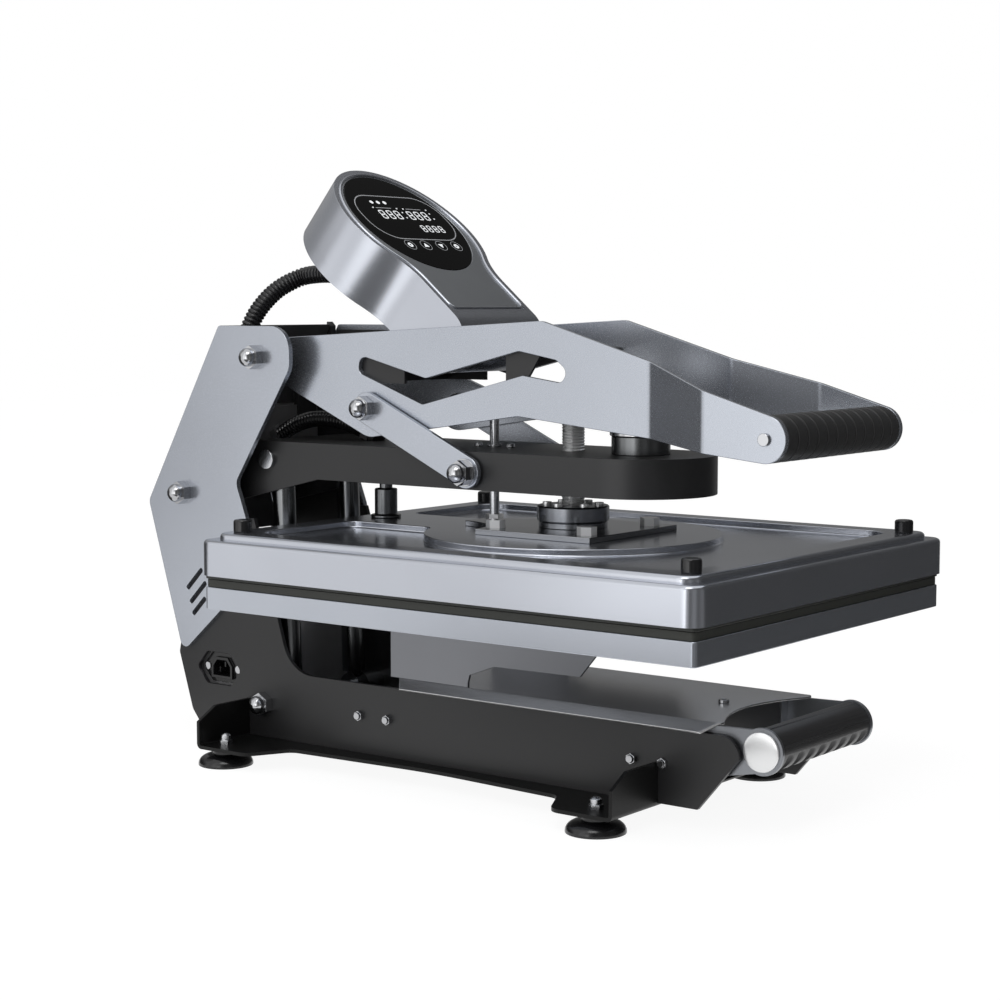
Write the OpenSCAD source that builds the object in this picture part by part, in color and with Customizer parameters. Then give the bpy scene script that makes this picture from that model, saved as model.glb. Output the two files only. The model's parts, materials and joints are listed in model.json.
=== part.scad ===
// Auto-open clam heat press with a slide-out lower platen.
// The operator stands on the -Y side, +Z is up and X runs across the machine.
// A reach is a distance behind the centre of the platens, and a negative one lies in front of it.

/* [Platens] */
// Width of the platens
platen_w = 400; // [300:5:460]
// Depth of the platens
platen_d = 500; // [420:5:600]
// Height of the lower platen's underside above the table
platen_z = 156.5; // [140:0.5:180]
// Thickness of the lower platen
lower_platen_t = 19.3; // [12:0.1:30]
// Thickness of the silicone pad
pad_t = 7; // [4:0.5:12]
// Thickness of the heat platen
heat_platen_t = 16; // [12:0.5:22]
// Height of the strip of heat platen that shows below its cover
heat_strip_h = 3; // [1:0.5:6]

/* [Platen cover] */
// How far the cover stands out past the platens
cover_lip = 4.5; // [1:0.5:8]
// Height of the cover from its lower edge to its rim
cover_h = 36.4; // [30:0.1:50]
// Height of the rounded step between the ledge and the rim
cover_step_h = 5.5; // [3:0.5:10]
// Width of the ledge round the rim
cover_ledge_w = 10; // [6:1:16]
// Width of the rim
cover_rim_w = 25; // [15:1:35]
// Radius of the cover's vertical corners
cover_corner_r = 15; // [8:1:30]
// Radius of the raised disc in the middle
plateau_r = 130; // [110:1:140]
// Thickness of the cover's sheet
cover_t = 2.5; // [1.5:0.5:4]

/* [Side frame] */
// Distance from the centre plane to the outer face of a side plate
frame_half_w = 81; // [72:1:90]
// Thickness of a side plate
side_plate_t = 4; // [3:0.5:6]
// Thickness of a pillar cheek
cheek_t = 5; // [2:0.5:8]
// Reach of the pillar's rearmost point
pillar_reach = 439; // [420:1:460]
// Height of the pillar above the table
pillar_top_z = 400; // [380:1:420]
// Height of the side plates' upper edge under the drawer's cover
side_plate_top_z = 81.5; // [70:0.5:90]
// Half width of the base pan at the feet
pan_half_w = 147; // [130:1:170]
// Thickness of the base pan
pan_t = 3.2; // [2:0.2:5]

/* [Feet] */
// Height of the base pan's underside above the table
foot_h = 15.5; // [12:0.5:25]
// Radius of a foot's rubber dome
foot_r = 25; // [18:1:32]
// Distance from the centre plane to a foot
foot_x = 127; // [110:1:130]

/* [Handle] */
// Reach of the grip's axis
grip_reach = -246; // [-280:1:-220]
// Height of the grip's axis
grip_z = 317.5; // [300:0.5:340]
// Radius of the rubber grip
grip_r = 18.5; // [14:0.5:22]
// Distance from the centre plane to the outer face of a handle plate at the grip
grip_half_w = 97; // [85:1:120]
// Distance from the centre plane to the outer face of a handle plate at its pivot
arm_half_w = 65; // [60:0.5:68]
// Thickness of a handle plate
handle_plate_t = 5; // [3:0.5:6]
// Rise of the handle's shoulder above the grip's axis
handle_rise = 88.5; // [70:0.5:100]

/* [Linkage] */
// Reach of the beam's pivot
beam_pivot_reach = 391.6; // [380:0.1:400]
// Height of the beam's pivot
beam_pivot_z = 242.3; // [230:0.1:255]
// Reach of the handle's pivot
handle_pivot_reach = 296; // [285:0.5:305]
// Height of the handle's pivot
handle_pivot_z = 371.5; // [365:0.5:378]
// Reach of the links' bolts on the handle
link_top_reach = 175; // [165:0.5:185]
// Height of the links' bolts on the handle
link_top_z = 328; // [320:0.5:335]
// Reach of the links' bolts on the beam
link_foot_reach = 63; // [50:0.5:75]
// Height of the links' bolts on the beam
link_foot_z = 276; // [270:0.5:282]
// Radius of a link's rounded ends
link_r = 14; // [11:0.5:16]
// Thickness of a link
link_t = 5; // [3:0.5:8]

/* [Beam] */
// Height of the beam's underside
beam_z = 260.5; // [255:0.5:265]
// Depth of the beam's section
beam_h = 33; // [26:0.5:36]
// Thickness of the beam's sheet
beam_t = 4; // [3:0.5:6]
// Reach of the centre of the beam's round nose, where the magnet sits
nose_reach = -70; // [-90:1:-60]
// Radius of the electromagnet
magnet_r = 25; // [20:1:30]
// Height of the electromagnet
magnet_h = 15.5; // [12:0.5:20]

/* [Pressure screw] */
// Radius of the pressure screw
screw_r = 10; // [8:0.5:12]
// Radius of the bearing collar
collar_r = 31.5; // [26:0.5:36]
// Height of the bearing collar
collar_h = 19; // [14:0.5:22]
// Radius of the pressure knob
knob_r = 30; // [24:1:34]
// Thickness of the pressure plate
pressure_plate_t = 5; // [3:0.5:8]

/* [Gas struts] */
// Distance from the centre plane to a strut
strut_x = 45; // [40:1:50]
// Radius of a strut's tube
strut_r = 11; // [9:0.5:13]
// Radius of a strut's rod
strut_rod_r = 5; // [4:0.5:6]
// Reach of the struts' lower pin
strut_foot_reach = 293; // [285:1:300]
// Height of the struts' lower pin
strut_foot_z = 50; // [45:0.5:55]
// Reach of the struts' upper pin
strut_top_reach = 301; // [295:0.5:305]
// Height of the struts' upper pin
strut_top_z = 276.5; // [274:0.5:278]

/* [Drawer] */
// Height of the drawer cover's flat top
drawer_z = 90; // [87:0.5:95]
// Thickness of the drawer's sheet
drawer_t = 2; // [1.5:0.5:2.5]
// Half width of the drawer cover's flat top
drawer_flat_half_w = 75; // [70:1:80]
// Half width of the drawer cover over its bevels
drawer_half_w = 85; // [80:1:92]
// Reach of the drawer grip's axis
drawer_grip_reach = -234; // [-250:1:-228]
// Height of the drawer grip's axis
drawer_grip_z = 71.5; // [68:0.5:75]
// Radius of the drawer grip
drawer_grip_r = 17.5; // [14:0.5:19]
// Height of the slide rails' centre line
rail_z = 52.5; // [48:0.5:56]
// Length of the slide rails
rail_len = 390; // [330:5:400]

/* [Control head] */
// Radius of the control head's round end
head_r = 81; // [70:1:90]
// Distance up the face from the stem's end to the centre of the round end
head_rise = 124; // [110:1:135]
// Half width of the control head's stem
stem_half_w = 58; // [50:1:59]
// Depth of the control head square to its face
head_depth = 58; // [45:1:65]
// Tilt of the face above the horizontal
head_tilt = 40; // [35:1:45]
// Radius of the display glass
glass_r = 67; // [55:1:70]
// Reach of the lower end of the face
head_reach = 85; // [80:1:95]
// Height of the lower end of the face
head_z = 411; // [408:0.5:416]

/* [Hoses] */
// Radius of the ribbed hoses over their ribs
hose_r = 7.5; // [5:0.5:9]
// Number of ribs on the control hose
control_ribs = 64; // [30:1:90]
// Number of ribs on the heater hose
heater_ribs = 38; // [20:1:60]

/* [Fits] */
// Radial clearance of a shaft that turns or slides in a bore
running_fit = 0.05; // [0.02:0.01:0.1]
// Gap between faces of pieces that move past each other
face_gap = 0.3; // [0.2:0.05:0.5]

/* [Hidden] */

$fn = 64;
// Overrun of every cut
cut = 1;

// Places that follow from the driving sizes
platen_y = -(pillar_reach + grip_reach - grip_r) / 2;
pad_z = platen_z + lower_platen_t;
heat_z = pad_z + pad_t + face_gap;
cover_z = heat_z + heat_strip_h;
cover_top = cover_z + cover_h;
cover_half_w = platen_w / 2 + cover_lip;
cover_half_d = platen_d / 2 + cover_lip;
beam_top = beam_z + beam_h;
pan_top = foot_h + pan_t;
cheek_x = frame_half_w + cheek_t;
frame_inner = frame_half_w - side_plate_t;
beam_pivot = [at(beam_pivot_reach), beam_pivot_z];
handle_pivot = [at(handle_pivot_reach), handle_pivot_z];
link_top = [at(link_top_reach), link_top_z];
link_foot = [at(link_foot_reach), link_foot_z];
strut_foot = [at(strut_foot_reach), strut_foot_z];
strut_top = [at(strut_top_reach), strut_top_z];
grip_axis = [at(grip_reach), grip_z];
drawer_grip_axis = [at(drawer_grip_reach), drawer_grip_z];
nose_y = at(nose_reach);

// Shafts, bolts and nuts
shaft_r = 7;
pin_r = 6;
spacer_r = 11;
washer_t = 2;
washer_r = 12;
bolt_head_flat_r = 9;
bolt_head_flat_h = 4;
acorn_r = 11;
acorn_hex_h = 9;
acorn_dome_h = 9;
acorn_dome_share = 0.76;
small_nut_r = 4.6;
small_nut_h = 3.6;
small_screw_r = 2.5;

// Base pan, its turned-up ends and the feet
pan_front_reach = -142;
pan_rear_reach = 316;
waist_half_w = 97;
waist_reach = 80;
waist_r = 500;
neck_half_w = 107;
lug_len = 60;
lug_taper = 21;
lug_r = 14;
ear_h = 37;
ear_chamfer_w = 22;
ear_chamfer_h = 12;
bend_r = 5;
foot_front_inset = 29;
foot_rear_inset = 17;
foot_neck_r = 12;
foot_neck_h = 5;
foot_rim_h = 1.5;
foot_arc_steps = 8;
stud_r = 4;
stud_nut_r = 6.4;
foot_places = [at(pan_front_reach + foot_front_inset), at(pan_rear_reach - foot_rear_inset)];

// Side plate and cheek
front_reach = -217;
plate_tail_reach = 405;
plate_nose_r = 17;
cheek_w = 185;
cheek_h = 311;
cheek_nose_r = 23;
cheek_reach = pillar_reach - cheek_w;
cheek_z = pillar_top_z - cheek_h;
slot_w = 4.8;
slot_slope = 45;
rail_bolt_reaches = [-147, -117, 143, 176];
rail_bolt_places = [for (r = rail_bolt_reaches) at(r)];
// Lower part of the side plate, as shares of its length and of its height to the drawer,
// with each corner's radius as a share of the nose's
frame_shares = [
    [0.061, 0, 0], [0.953, 0, 0.5], [0.973, 0.245, 0.6], [1, 1.103, 0.3], [0.984, 1.79, 0],
    [0.903, 3.237, 0], [0.839, 3.237, 0], [0.768, 1, 2.15], [0, 1, 1], [0, 0.717, 0.12]
];
// The cheek, as shares of its box, with each corner's radius as a share of the nose's
cheek_shares = [
    [0, 0.8765, 0.87], [0.373, 0.534, 0.5], [0.303, 0.426, 0.4], [0.492, 0.1415, 0.3],
    [0.765, 0, 0.3], [1, 0.46, 0.45], [0.481, 1, 0.15], [0, 1, 1]
];
// Upper ends of the cheek's slots as shares of its box, with their lengths as shares of its width
slot_shares = [[0.627, 0.257, 0.13], [0.6, 0.218, 0.137], [0.605, 0.17, 0.107]];

// Rear cover, electronics box and wiring box
cover_sheet_t = 2;
// The rear cover's line down the back, as shares of the pillar's depth and height
rear_shares = [[0.5135, 1], [0.986, 0.565], [0.784, 0.19], [0.697, 0.04], [0.638, 0]];
vent_len = 62;
vent_h = 5;
vent_pitch = 14;
vent_count = 6;
vent_z = 120;
box_wall = 1.5;
box_front_reach = 322;
box_half_w = 72.5;
box_top_z = 150;
relay_size = [58, 30, 28];
relay_gap = 5;
wiring_front_reach = 352;
wiring_half_w = 59.5;
wiring_low_z = 266;
wiring_top_z = 322;

// Mains inlet and switch
inlet_reach = 352.5;
inlet_z = 76.5;
inlet_hole_w = 57;
inlet_hole_h = 31;
inlet_hole_r = 4.5;
inlet_edge = 1.5;
inlet_socket_w = 27;
inlet_socket_h = 20;
inlet_socket_wall = 2.5;
inlet_body_len = 26;
inlet_flange_t = 2;
inlet_collar_t = 3;
inlet_well = 17;
inlet_pin = [12, 2, 5];
inlet_screw_x = 20;
inlet_screw_r = 3.6;
inlet_screw_h = 1.6;
inlet_shares = [[-0.5, 0], [-0.27, -0.5], [0.27, -0.5], [0.5, 0], [0.27, 0.5], [-0.27, 0.5]];
socket_shares = [[-0.5, -0.5], [0.5, -0.5], [0.5, 0.1], [0.28, 0.5], [-0.28, 0.5], [-0.5, 0.1]];
inlet_pin_shares = [[-0.26, -0.12], [0, 0.14], [0.26, -0.12]];
switch_w = 22;
switch_h = 30;
bezel_lip = 2.5;
bezel_t = 2;
switch_depth = 24;
rocker_gap = 0.4;
rocker_proud = 3;
rocker_sink = 4;
rocker_tilt = 7;
rocker_pin_r = 1.8;
rocker_pin_half = 10;

// Slide rails
rail_depth = 12.5;
rail_half_h = 17.5;
rail_t = 1.5;
rail_gap = 0.5;
rail_front_reach = -160;

// Struts
eye_r = 11.2;
eye_w = 14;
eye_clearance = 2.1;
foot_eye_r = 12;
tube_start = 14;
strut_tube_len = 186;
strut_wall = 1.5;
rod_hidden = 120;
piston_h = 8;

// Beam, magnet and armature
beam_rear_reach = 316;
beam_floor_reach = 240;
beam_lug_r = 18;
beam_boss_r = 14;
beam_boss_w = 12;
nut_block_r = 20;
magnet_core_r = 11;
magnet_ring_r = 20.5;
magnet_groove_d = 1.2;
armature_t = 4;
armature_over = 1.5;
bracket_rise = 9;
bracket_t = 4;
bracket_len = 44;
bracket_ear_h = 12;
bracket_boss_r = 12;

// Platen hardware
platen_corner_r = 4;
pad_inset = 1;
recess_d = 6;
recess_r = 22;
neck_w = 84;
neck_r = 15;
cover_edge_r = 3.5;
cover_hollow_h = 22;
cap_r = 8;
cap_h = 11;
cap_inset_x = 31.5;
cap_inset_y = 25;
plate_half_w = 67;
plate_front = 64;
plate_side_rear = 59;
tongue_half_w = 17;
tongue_rear = 106;
bolt_grid = 48;
bolt_head_r = 8.5;
bolt_head_h = 7;
collar_base_h = 5;
collar_base_lip = 1.5;
collar_groove = 1;
collar_floor = 4;
collar_screws = 6;
collar_screw_r = 4;
collar_screw_h = 2.5;
collar_screw_share = 0.72;
guide_rod_r = 4.25;
guide_rod_reach = 86;
bush_r = 6.4;
bush_h = 2.4;
bush_screw_reach = 18;
bush_screw_r = 4.4;
bush_screw_h = 3.2;
bush_screw_taper_share = 0.75;
guide_rod_top = 330;
guide_nut_r = 8;
guide_nut_h = 6;
post_r = 10.5;
post_reach = 213;
post_h = 27;
post_neck_r = 6;
post_neck_h = 30;
post_foot_r = 14;
post_foot_h = 3;
screw_top = 344;
knob_z = 323;
knob_h = 20;
knob_lobes = 8;
knob_lobe_r = 5;
knob_edge_r = 4;

// Handle
pivot_end_r = 17;
lobe_r = 26;
shoulder_reach = -12;
shoulder_r = 22;
waist_end_reach = 12;
waist_end_z = 325.5;
flare_start_reach = -121;
flare_end_reach = -190;
flare_bend_r = 12;
window_r = 7;
grip_bolt_r = 5;
grip_bolt_h = 2.5;
grip_screw_len = 25;
core_r = 13;
rib_count = 12;
rib_groove = 0.9;
rib_groove_w = 1.6;
grip_edge_r = 2.5;
bridge_front_reach = -12;
bridge_rear_reach = 188;
bridge_low_z = 350;
bridge_top_z = 383;
bridge_t = 3;
bridge_nose_r = 22;
bridge_window_front_reach = 28;
bridge_window_rear_reach = 140;
// Ends of the handle plate's straight edges, as shares of the radius of the round that they meet
end_steps = 32;
grip_top_shares = [-0.3, 0.954];
grip_low_shares = [0.1, -0.995];
pivot_top_shares = [0.06, 0.998];
pivot_low_shares = [0.375, -0.927];
lobe_rear_shares = [0.4, -0.916];
lobe_front_shares = [-0.17, -0.985];
// Window in the handle plate, as shares of the length from grip to pivot and of the rise
window_shares = [
    [0.8, 0.644], [0.661, 0.429], [0.474, 0.712], [0.402, 0.633], [0.38, 0.525], [0.393, 0.418],
    [0.467, 0.48], [0.668, 0.169], [0.804, 0.469]
];

// Control head
head_wall = 2.5;
head_blend_r = 60;
head_back_r = 16;
seam_top_depth = 36;
seam_bottom_depth = 62;
face_margin = 7;
face_t = 3;
face_drop = 0.8;
glass_t = 2.5;
glass_rise = 129;
glass_gap = 0.2;
board_size = [96, 90, 1.6];
board_depth = 18;
board_post_r = 3;
board_post_inset = 5;
display_size = [78, 46];

// Drawer
drawer_rear_reach = 150;
drawer_side_rear_reach = 127;
drawer_front_reach = -182;
drawer_ear_reach = -196;
drawer_rear_share = 0.66;
cutout_half_w = 68;
cutout_ear = 5;
cutout_depth = 20;
cutout_steps = 12;
skirt_drop = 7.5;
tray_half_w = 64.5;
tray_low_z = 36;
tray_front_reach = -172;
tray_rear_reach = 132;
support_half_w = 75;
support_t = 3;
support_rear_reach = 145;
support_front_reach = -98;
support_bend_r = 6;
// Profile of the support's walls, as shares of its depth and height
support_shares = [
    [0, 1], [0.156, 0.33], [0.523, 0.316], [0.634, 0.165], [0.642, 0.06], [0.642, 0], [1, 0], [1, 1]
];
ring_r = 19;
bracket_gap = 2;
bracket_drop = 1;
ring_t = 3;
bracket_tail_reach = tray_front_reach - drawer_t;
bracket_x = frame_inner - bracket_gap;
// Corners of the grip bracket's arm, as shares of its ring's radius
arm_top_shares = [-0.1, 0.9];
arm_low_shares = [0.3, -0.95];
arm_tail_share = 1.5;
grip_cap_r = 16;
grip_cap_t = 3;
grip_cap_crown = 1.5;
finger_pitch = 17.5;
finger_count = 8;
finger_r = 4.5;
finger_tilt = 40;
cover_screw_r = 4.6;
cover_screw_h = 3;
cover_screw_reach = -154;

// Ribbed hoses and their glands
gland_r = 10.5;
gland_h = 9;
gland_stem_share = 0.86;
hose_bore_r = 5;
rib_depth = 1;
ring_sides = 8;
// Routes of the hoses, chosen by hand
control_route = [
    [0, 151, 447], [0, 166, 447], [0, 187, 448], [0, 208, 448], [-4, 227, 445], [-22, 239, 434],
    [-38, 246, 418], [-48, 251, 400], [-50, 258, 380], [-49, 268, 362], [-48, 277, 346],
    [-48, 277, 331]
];
heater_route = [
    [0, 149, 301.5], [0, 164, 306.5], [0, 181, 310], [0, 198, 311.5], [0, 214, 311],
    [0, 229, 308], [0, 243, 302.8], [0, 256.5, 295.8]
];
control_stem = 26;
wiring_stem = 12;
heater_stem = 16;
heater_box_stem = 18;

function at(reach) = platen_y + reach;
function unit(v) = v / norm(v);

// Corners [x, y, radius] turned into an outline whose corners are arcs.
function corner_arc(a, b, c, r, steps) =
    r == 0 ? [b] :
    let (
        u = unit(a - b),
        w = unit(c - b),
        half = acos(u * w) / 2,
        centre = b + unit(u + w) * r / sin(half),
        p = b + u * r / tan(half) - centre,
        q = b + w * r / tan(half) - centre,
        start = atan2(p[1], p[0]),
        sweep = (atan2(q[1], q[0]) - start + 540) % 360 - 180
    )
    [for (i = [0:steps]) centre + r * [cos(start + sweep * i / steps), sin(start + sweep * i / steps)]];
function flat(p) = [p[0], p[1]];
function rounded(points, steps = 8) = [
    for (i = [0:len(points) - 1])
        each corner_arc(
            flat(points[(i + len(points) - 1) % len(points)]),
            flat(points[i]),
            flat(points[(i + 1) % len(points)]),
            points[i][2],
            steps
        )
];
// Shares of a box turned into corners, with one radius or a share of it for each.
function spread(shares, origin, size, r) = [
    for (s = shares) [
        origin[0] + s[0] * size[0],
        origin[1] + s[1] * size[1],
        r * (len(s) > 2 ? s[2] : 1)
    ]
];
// A path thickened to its left, with mitred corners.
function side_normal(path, i) =
    let (d = unit(flat(path[i + 1]) - flat(path[i]))) [-d[1], d[0]];
function path_offset(path, i, t) =
    let (
        last = len(path) - 1,
        a = side_normal(path, max(i - 1, 0)),
        b = side_normal(path, min(i, last - 1))
    )
    flat(path[i]) + t * (a + b) / (1 + a * b);
function strip(path, t) = concat(
    [for (p = path) flat(p)],
    [for (i = [len(path) - 1:-1:0]) path_offset(path, i, t)]
);

// Extrusions of outlines drawn as (y, z), and pairs mirrored about the centre plane.
module across(x, t) {
    translate([x, 0, 0]) rotate([90, 0, 90]) linear_extrude(t) children();
}
module both_sides() {
    children();
    mirror([1, 0, 0]) children();
}
module cross_bore(place, r, half) {
    translate([-half, place[0], place[1]]) rotate([0, 90, 0]) cylinder(h = 2 * half, r = r);
}
module x_rod(place, r, x0, x1) {
    translate([x0, place[0], place[1]]) rotate([0, 90, 0]) cylinder(h = x1 - x0, r = r);
}
module acorn_nut(r, hex_h, dome_h) {
    dome_r = r * acorn_dome_share;
    cylinder(h = hex_h, r = r, $fn = 6);
    translate([0, 0, hex_h]) intersection() {
        sphere(r = max(dome_r, dome_h));
        cylinder(h = dome_h, r = dome_r);
    }
}
module right_nut(place, x, r = acorn_r, hex_h = acorn_hex_h, dome_h = acorn_dome_h) {
    translate([x, place[0], place[1]]) rotate([0, 90, 0]) acorn_nut(r, hex_h, dome_h);
}
// Children placed at p with their +Z axis towards q.
module facing(p, q) {
    d = q - p;
    translate(p) rotate([0, acos(d[2] / norm(d)), atan2(d[1], d[0])]) children();
}
module gland(p, q, gap, stem) {
    facing(p, q) translate([0, 0, -gap - stem]) {
        cylinder(h = stem, r = gland_r * gland_stem_share);
        translate([0, 0, stem - gland_h]) cylinder(h = gland_h, r = gland_r, $fn = 6);
    }
}
module slab(half_w, half_d, r, h) {
    linear_extrude(h) polygon(rounded([
        [-half_w, -half_d, r], [half_w, -half_d, r], [half_w, half_d, r], [-half_w, half_d, r]
    ]));
}
// A slab whose upper edge is rounded all the way round.
module crowned_slab(half_w, half_d, r, h, edge_r) {
    hull() for (x = [-1, 1], y = [-1, 1])
        translate([x * (half_w - r), y * (half_d - r), 0])
            rotate_extrude($fn = 40) polygon(concat(
                [[0, 0], [r, 0]],
                [for (i = [0:4]) [r - edge_r + edge_r * cos(22.5 * i), h - edge_r + edge_r * sin(22.5 * i)]],
                [[0, h]]
            ));
}
module in_platen_place() {
    translate([0, platen_y, 0]) children();
}

// Base

module pan_plan() {
    rear = at(pan_rear_reach);
    front = at(pan_front_reach);
    half = [
        [pan_half_w, front, 0],
        [pan_half_w, front + lug_len, lug_r],
        [neck_half_w, front + lug_len + lug_taper, lug_r],
        [waist_half_w, at(waist_reach), waist_r],
        [neck_half_w, rear - lug_len - lug_taper, lug_r],
        [pan_half_w, rear - lug_len, lug_r],
        [pan_half_w, rear, 0]
    ];
    other = [for (i = [len(half) - 1:-1:0]) [-half[i][0], half[i][1], half[i][2]]];
    polygon(rounded(concat(half, other)));
}
module base_pan() {
    rear = at(pan_rear_reach);
    front = at(pan_front_reach);
    up = foot_h + ear_h;
    color("#1c1d1f") difference() {
        intersection() {
            across(-pan_half_w, 2 * pan_half_w) difference() {
                polygon(rounded([
                    [front, up, 0], [front, foot_h, bend_r], [rear, foot_h, bend_r], [rear, up, 0]
                ]));
                polygon(rounded([
                    [front + pan_t, up + cut, 0], [front + pan_t, pan_top, bend_r - pan_t],
                    [rear - pan_t, pan_top, bend_r - pan_t], [rear - pan_t, up + cut, 0]
                ]));
            }
            translate([0, 0, foot_h]) linear_extrude(ear_h) pan_plan();
            translate([0, rear, 0]) rotate([90, 0, 0]) linear_extrude(rear - front) polygon([
                [-pan_half_w, foot_h], [pan_half_w, foot_h], [pan_half_w, up - ear_chamfer_h],
                [pan_half_w - ear_chamfer_w, up], [ear_chamfer_w - pan_half_w, up],
                [-pan_half_w, up - ear_chamfer_h]
            ]);
        }
        translate([-frame_half_w, front - cut, pan_top])
            cube([2 * frame_half_w, rear - front + 2 * cut, ear_h]);
        on_feet() cylinder(h = pan_top + cut, r = stud_r);
    }
}
module on_feet() {
    for (x = [-1, 1], y = foot_places) translate([x * foot_x, y, 0]) children();
}
module foot_pads() {
    dome_h = foot_h - foot_neck_h;
    step = 90 / foot_arc_steps;
    color("#131313") on_feet() difference() {
        rotate_extrude() polygon(concat(
            [[0, 0], [foot_r, 0]],
            [for (i = [0:foot_arc_steps]) [
                foot_neck_r + (foot_r - foot_neck_r) * cos(step * i),
                foot_rim_h + (dome_h - foot_rim_h) * sin(step * i)
            ]],
            [[foot_neck_r, foot_h], [0, foot_h]]
        ));
        translate([0, 0, foot_neck_h]) cylinder(h = foot_h, r = stud_r);
    }
}
module foot_studs() {
    color("#c9ccd0") on_feet() {
        translate([0, 0, foot_neck_h]) cylinder(h = pan_top - foot_neck_h, r = stud_r);
        translate([0, 0, pan_top]) acorn_nut(stud_nut_r, stud_r, stud_nut_r);
    }
}

// Side frame

module cheek_outline() {
    polygon(rounded(spread(cheek_shares, [at(cheek_reach), cheek_z], [cheek_w, cheek_h], cheek_nose_r)));
}
// The side plate runs from the base up behind the cheek to the handle's pivot.
module side_plate_outline() {
    size = [plate_tail_reach - front_reach, side_plate_top_z - pan_top];
    polygon(rounded(spread(frame_shares, [at(front_reach), pan_top], size, plate_nose_r)));
    offset(delta = -cheek_t) cheek_outline();
}
module pivot_bores() {
    cross_bore(handle_pivot, shaft_r + running_fit, cheek_x + cut);
    cross_bore(beam_pivot, shaft_r + running_fit, cheek_x + cut);
    cross_bore(strut_foot, pin_r + running_fit, cheek_x + cut);
}
module rail_holes() {
    for (y = rail_bolt_places) cross_bore([y, rail_z], small_screw_r, frame_half_w + cut);
}
module side_plate(side) {
    x = side < 0 ? -frame_half_w : frame_inner;
    difference() {
        across(x, side_plate_t) side_plate_outline();
        pivot_bores();
        rail_holes();
        if (side < 0) across(x - cut, side_plate_t + 2 * cut) inlet_outline(0);
        if (side > 0) switch_hole(x - cut, side_plate_t + 2 * cut, 0);
    }
}
module side_plate_left() { color("#2b2c2e") side_plate(-1); }
module side_plate_right() { color("#2b2c2e") side_plate(1); }
module cheek(side) {
    difference() {
        across(side < 0 ? -cheek_x : frame_half_w, cheek_t) difference() {
            cheek_outline();
            for (s = slot_shares)
                translate([at(cheek_reach) + s[0] * cheek_w, cheek_z + s[1] * cheek_h])
                    rotate(-slot_slope) hull() {
                    circle(r = slot_w / 2, $fn = 16);
                    translate([s[2] * cheek_w, 0]) circle(r = slot_w / 2, $fn = 16);
                }
        }
        pivot_bores();
    }
}
module cheek_left() { color("#b9bdc6") cheek(-1); }
module cheek_right() { color("#b9bdc6") cheek(1); }

rear_path = spread(rear_shares, [at(cheek_reach), pan_top], [cheek_w, pillar_top_z - pan_top], 0);
rear_inner = [for (i = [0:len(rear_path) - 1]) path_offset(rear_path, i, -cover_sheet_t)];
function rear_at(z) = lookup(z, [for (p = rear_inner) [p[1], p[0]]]);
module rear_cover() {
    color("#1a1a1c") difference() {
        across(-frame_inner, 2 * frame_inner) polygon(strip(rear_path, -cover_sheet_t));
        for (i = [0:vent_count - 1], x = [-1, 1])
            translate([x * frame_inner / 2 - vent_len / 2, at(box_front_reach), vent_z + i * vent_pitch])
                cube([vent_len, cheek_w, vent_h]);
    }
}
module box_outline() {
    front = at(box_front_reach);
    polygon([
        [front, pan_top], [rear_inner[4][0], pan_top], rear_inner[4], rear_inner[3], rear_inner[2],
        [rear_at(box_top_z), box_top_z], [front, box_top_z]
    ]);
}
module electronics_box() {
    color("#232426") difference() {
        across(-box_half_w, 2 * box_half_w) box_outline();
        across(box_wall - box_half_w, 2 * (box_half_w - box_wall)) offset(delta = -box_wall) box_outline();
        across(-box_half_w - cut, box_wall + 2 * cut) socket_outline(-rocker_gap);
        switch_hole(box_half_w - box_wall - cut, box_wall + 2 * cut, rocker_gap);
    }
}
module relay() {
    w = relay_size;
    color("#d8d8d2") translate([-w[0] / 2, at(box_front_reach) + box_wall + relay_gap, pan_top + box_wall])
        difference() {
            union() {
                cube([w[0], w[1], w[2] * 0.8]);
                translate([w[0] * 0.15, 0, 0]) cube([w[0] * 0.7, w[1], w[2]]);
            }
            for (x = [0.08, 0.92], y = [0.25, 0.75])
                translate([w[0] * x, w[1] * y, w[2] * 0.4]) cylinder(h = w[2], r = w[0] * 0.05, $fn = 24);
        }
}
module wiring_box() {
    front = at(wiring_front_reach);
    control_end = len(control_route) - 1;
    heater_end = len(heater_route) - 1;
    color("#202123") {
        across(-wiring_half_w, 2 * wiring_half_w) polygon([
            [front, wiring_low_z], [rear_at(wiring_low_z), wiring_low_z],
            [rear_at(wiring_top_z), wiring_top_z], [front, wiring_top_z]
        ]);
        gland(control_route[control_end], control_route[control_end - 1], face_gap, wiring_stem);
        gland(heater_route[heater_end], heater_route[heater_end - 1], face_gap, heater_box_stem);
    }
}

// Mains inlet and switch

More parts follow.
